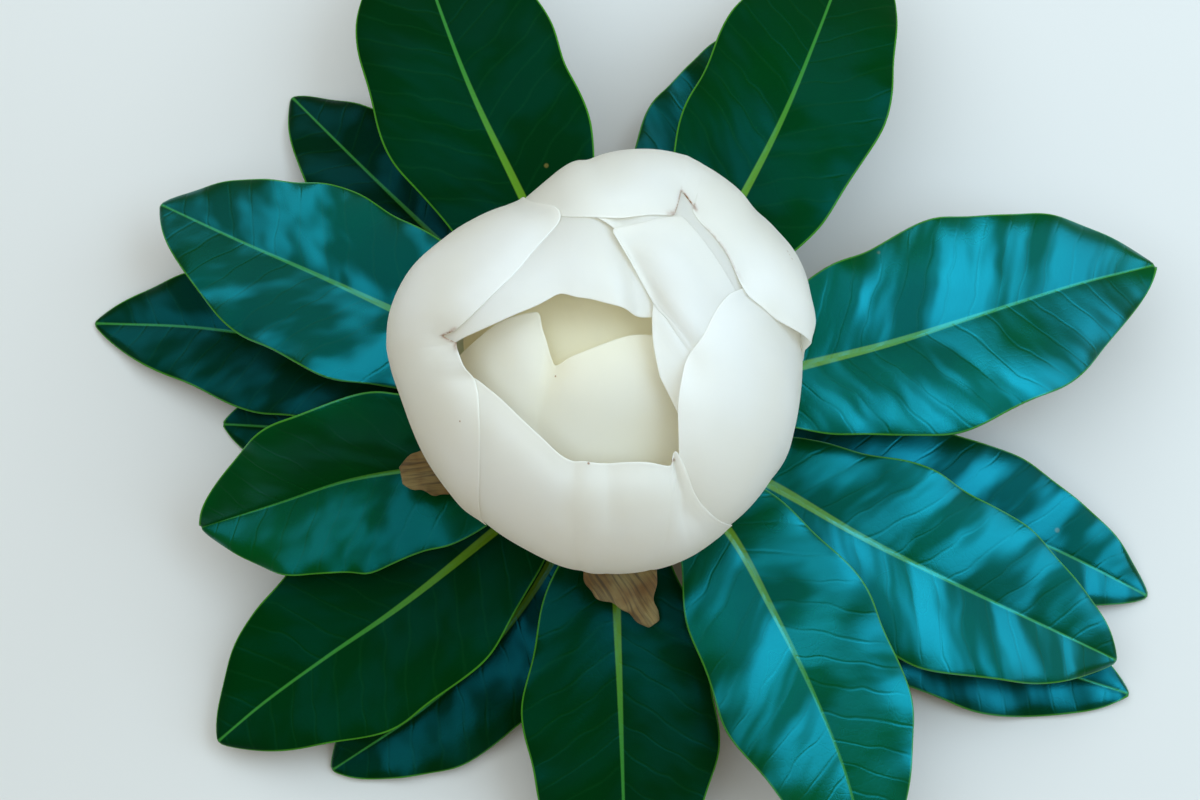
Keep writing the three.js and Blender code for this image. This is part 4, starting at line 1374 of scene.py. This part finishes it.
papery = bract_material()
for seed, (node_name, row) in enumerate(BRACTS.items(), start=31):
    bract = from_row(row, widths=BRACT_WIDTHS[node_name])
    points, thickness, real, relative, to_rim = blade_points(bract, 0, 0.0)
    points = points + CRUMPLE * dents(points * 2.4, seed)[..., None] * np.array([0.3, 0.3, 1.0])
    piece, order = grid_sheet(node_name + "_papery", points, papery)
    write_uv(piece, "real_size", by_vertex(order, real))
    thicken(piece, order, np.full(thickness.shape, BRACT_THICK))
    dress(piece, node_name)

# %% [markdown]
# ## Stamens and carpels
#
# Deep in the bloom stands the cone that later bears the seeds, with a ring of strap-shaped
# stamens round its foot. One stamen and one carpel are modelled and copied round, each copy
# with its own mesh, and the copies are joined to one piece.

# %% One of a kind, copied and joined
def copied_and_joined(name, pattern, places):
    """Copies of a pattern piece, one for each matrix, joined to one piece."""
    copies = []
    for place in places:
        twin = pattern.copy()
        twin.data = pattern.data.copy()
        twin.data.transform(place)
        bpy.context.collection.objects.link(twin)
        copies.append(twin)
    bpy.data.objects.remove(pattern)
    selected_only(copies[0])
    for twin in copies:
        twin.select_set(True)
    bpy.ops.object.join()
    joined = bpy.context.object
    joined.name = joined.data.name = name
    print(len(copies), "copies joined to", name)
    return joined


def bloom_matrix(bearing, radius, rise, tilt=0.0, turn=0.0, size=1.0):
    """Place on a ring round the bloom's axis, in metres; x of the pattern faces outwards."""
    bearing, tilt, turn = (math.radians(angle) for angle in (bearing, tilt, turn))
    place = Matrix.Rotation(bearing, 4, "Z") @ Matrix.Translation((radius * MM, 0, rise * MM))
    place = place @ Matrix.Rotation(tilt, 4, "Y") @ Matrix.Rotation(turn, 4, "Z")
    lean = Matrix.Rotation(-LEAN, 4, "Y")
    return Matrix.Translation(Vector(SEAT + SHIFT) * MM) @ lean @ place @ Matrix.Scale(size, 4)


# %% [markdown]
# ## Stamens
#
# A stamen is a flat, waxy strap, cream with a wine-red foot. The strap starts as a cube, is
# subdivided, and its vertices are then moved: it narrows to a blunt tip, has a shallow groove
# along each face, and bows outwards. Light goes a little way into it, so it isn't chalky.

# %% Stamens
STAMEN_FOOT = 13.4
STAMEN_LENGTH = 12.6
STAMEN_THICK = 0.9
STAMEN_WIDTH = 1.7
STAMEN_BOW = 0.6
GROOVE_DEPTH = 0.25
GROOVE_WIDTH = 0.35
RED_HEIGHT = 6
# Radius, count and tilt outwards of each round of stamens
STAMEN_ROUNDS = [(5.9, 18, 2.0), (7.5, 23, 6.0), (9.1, 28, 9.0)]


def stamen_material():
    material, shader, add = new_material(
        "waxy_stamen", Roughness=0.55, Subsurface_Weight=0.3, Subsurface_Scale=0.002,
    )
    place = add("position", out="Object")
    grain = add("noise", place, Scale=every(1.43), Detail=2.0)
    low, high = ((SEAT[2] + rise) * MM for rise in (STAMEN_FOOT, STAMEN_FOOT + RED_HEIGHT))
    foot = add("ease", add("parts", place, out="Z"), low, high)
    cream = add("blend", foot, colour("#a8443c"), colour("#efe3b4"))
    cream = add("blend", add("ease", grain, 0.45, 0.75, 0.0, 0.5), cream, colour("#d2bd7c"))
    set_shader(
        shader, Base_Color=cream, Normal=add("bump", Height=grain, Strength=0.4, Distance=0.0002),
    )
    return material


bpy.ops.mesh.primitive_cube_add(size=1.0)
strap = bpy.context.object
strap.data.transform(Matrix.Diagonal((STAMEN_THICK * MM, STAMEN_WIDTH * MM, STAMEN_LENGTH * MM, 1.0)))
strap.data.transform(Matrix.Translation((0, 0, STAMEN_LENGTH / 2 * MM)))
bpy.ops.object.mode_set(mode="EDIT")
bpy.ops.mesh.subdivide(number_cuts=4)
bpy.ops.object.mode_set(mode="OBJECT")
for vertex in strap.data.vertices:
    share = vertex.co.z / (STAMEN_LENGTH * MM)
    pinch = 1 - 0.7 * share**5
    vertex.co.y *= pinch * (1 - 0.25 * (1 - share) ** 2)
    groove = GROOVE_DEPTH * MM * math.exp(-((vertex.co.y / (GROOVE_WIDTH * MM)) ** 2))
    vertex.co.x = vertex.co.x * (1 - 0.3 * share) - math.copysign(groove, vertex.co.x)
    vertex.co.x += STAMEN_BOW * MM * math.sin(2.2 * share)
round_and_finish(strap)
strap.data.materials.append(stamen_material())

places = []
for ring, (radius, count, tilt) in enumerate(STAMEN_ROUNDS):
    for i in range(count):
        sway = 2.5 * math.sin(5.1 * i + ring)
        places.append(bloom_matrix(
            360 * (i + 0.4 * ring) / count, radius - 0.5, STAMEN_FOOT - 0.4 * ring, tilt + sway, 8 * sway,
        ))
dress(copied_and_joined("stamens_ring", strap, places), "stamens")

# %% [markdown]
# ## Carpels
#
# A carpel is a small green flask whose long style curls back outwards. It is one tube: its
# rings swell for the flask, then narrow and turn by 150 degrees for the style. The carpels
# stand round a cone, each turned by the golden angle from the last, as the real ones grow,
# so that no two stand above each other. Short hairs give them a velvety green.

# %% Carpels
CARPEL_FOOT = 24.9
CARPEL_COUNT = 62
CARPEL_SIDES = 12
CARPEL_RINGS = 12
CARPEL_SWELL = 1.35
CARPEL_REACH = 3.0
STYLE_FROM = 0.35
STYLE_TURN = math.radians(150)
STYLE_BEND = 1.5
GOLDEN_ANGLE = 137.508
CONE_HEIGHT = 19.5
CONE_RADIUS = 3.6
CONE_RINGS = [(4.0, -0.4), (4.3, 0.6), (4.5, 5), (4.2, 11), (3.3, 16), (2.0, 19.4), (0.8, 20.6)]


def carpel_material():
    material, shader, add = new_material("velvety_carpel", Roughness=0.6, Sheen_Weight=0.4)
    style = add("attribute", attribute_name="style", out="Fac")
    grain = add("noise", add("position", out="Object"), Scale=every(1.25), Detail=2.0)
    green = add("blend", add("ease", grain, 0.4, 0.7), colour("#a3b567"), colour("#c3c98b"))
    green = add("blend", style, green, colour("#e6dc9f"))
    set_shader(
        shader, Base_Color=green, Normal=add("bump", Height=grain, Strength=0.5, Distance=0.0002),
    )
    return material


velvety = carpel_material()
turn = np.linspace(0, 2 * math.pi, CARPEL_SIDES, endpoint=False)
rings = []
for share in np.linspace(0, 1, CARPEL_RINGS):
    swell = CARPEL_SWELL * math.sin(math.pi * min(share / 0.5, 1.0) ** 0.8) if share < 0.5 else 0.0
    radius = max(swell, 0.62 - 0.3 * share)
    bend = STYLE_TURN * max(share - STYLE_FROM, 0) / 0.65
    x = CARPEL_REACH * min(share, STYLE_FROM) / STYLE_FROM + STYLE_BEND * math.sin(bend)
    z = STYLE_BEND * (1 - math.cos(bend))
    ring_x = x - radius * np.cos(turn) * math.sin(bend)
    rings.append(np.stack([ring_x, radius * np.sin(turn), z + radius * np.cos(turn) * math.cos(bend)], -1))
carpel = tube_of_rings("carpel", np.array(rings), velvety)
heights = np.zeros(len(carpel.data.vertices) * 3)
carpel.data.vertices.foreach_get("co", heights)
write_value(carpel, "style", ease((heights.reshape(-1, 3)[:, 2] / MM - 0.6) / 1.2))
round_and_finish(carpel)

places = []
for i in range(CARPEL_COUNT):
    share = (i + 0.5) / CARPEL_COUNT
    radius = CONE_RADIUS * math.sqrt(1 - share**2.2)
    rise = CARPEL_FOOT + 1.2 + CONE_HEIGHT * share
    tilt = -12 - 62 * share**3
    places.append(bloom_matrix(GOLDEN_ANGLE * i, radius, rise, tilt, 0, 1.05 - 0.3 * share))
cone_rings = [
    in_bloom(np.stack([r * np.cos(turn), r * np.sin(turn), np.full(CARPEL_SIDES, CARPEL_FOOT + h)], -1))
    for r, h in CONE_RINGS
]
cone = tube_of_rings("cone", np.array(cone_rings), velvety)
round_and_finish(cone, levels=0)
carpels = copied_and_joined("carpels_cone", carpel, places)
cone.select_set(True)
bpy.ops.object.join()
dress(carpels, "carpels")

# %% [markdown]
# ## The end
#
# The view is brought up to date, and the number of pieces made is printed.

# %% The count of pieces
bpy.context.view_layer.update()
print("pieces made:", len(TEPALS) + len(LEAVES) + len(BRACTS) + 3)
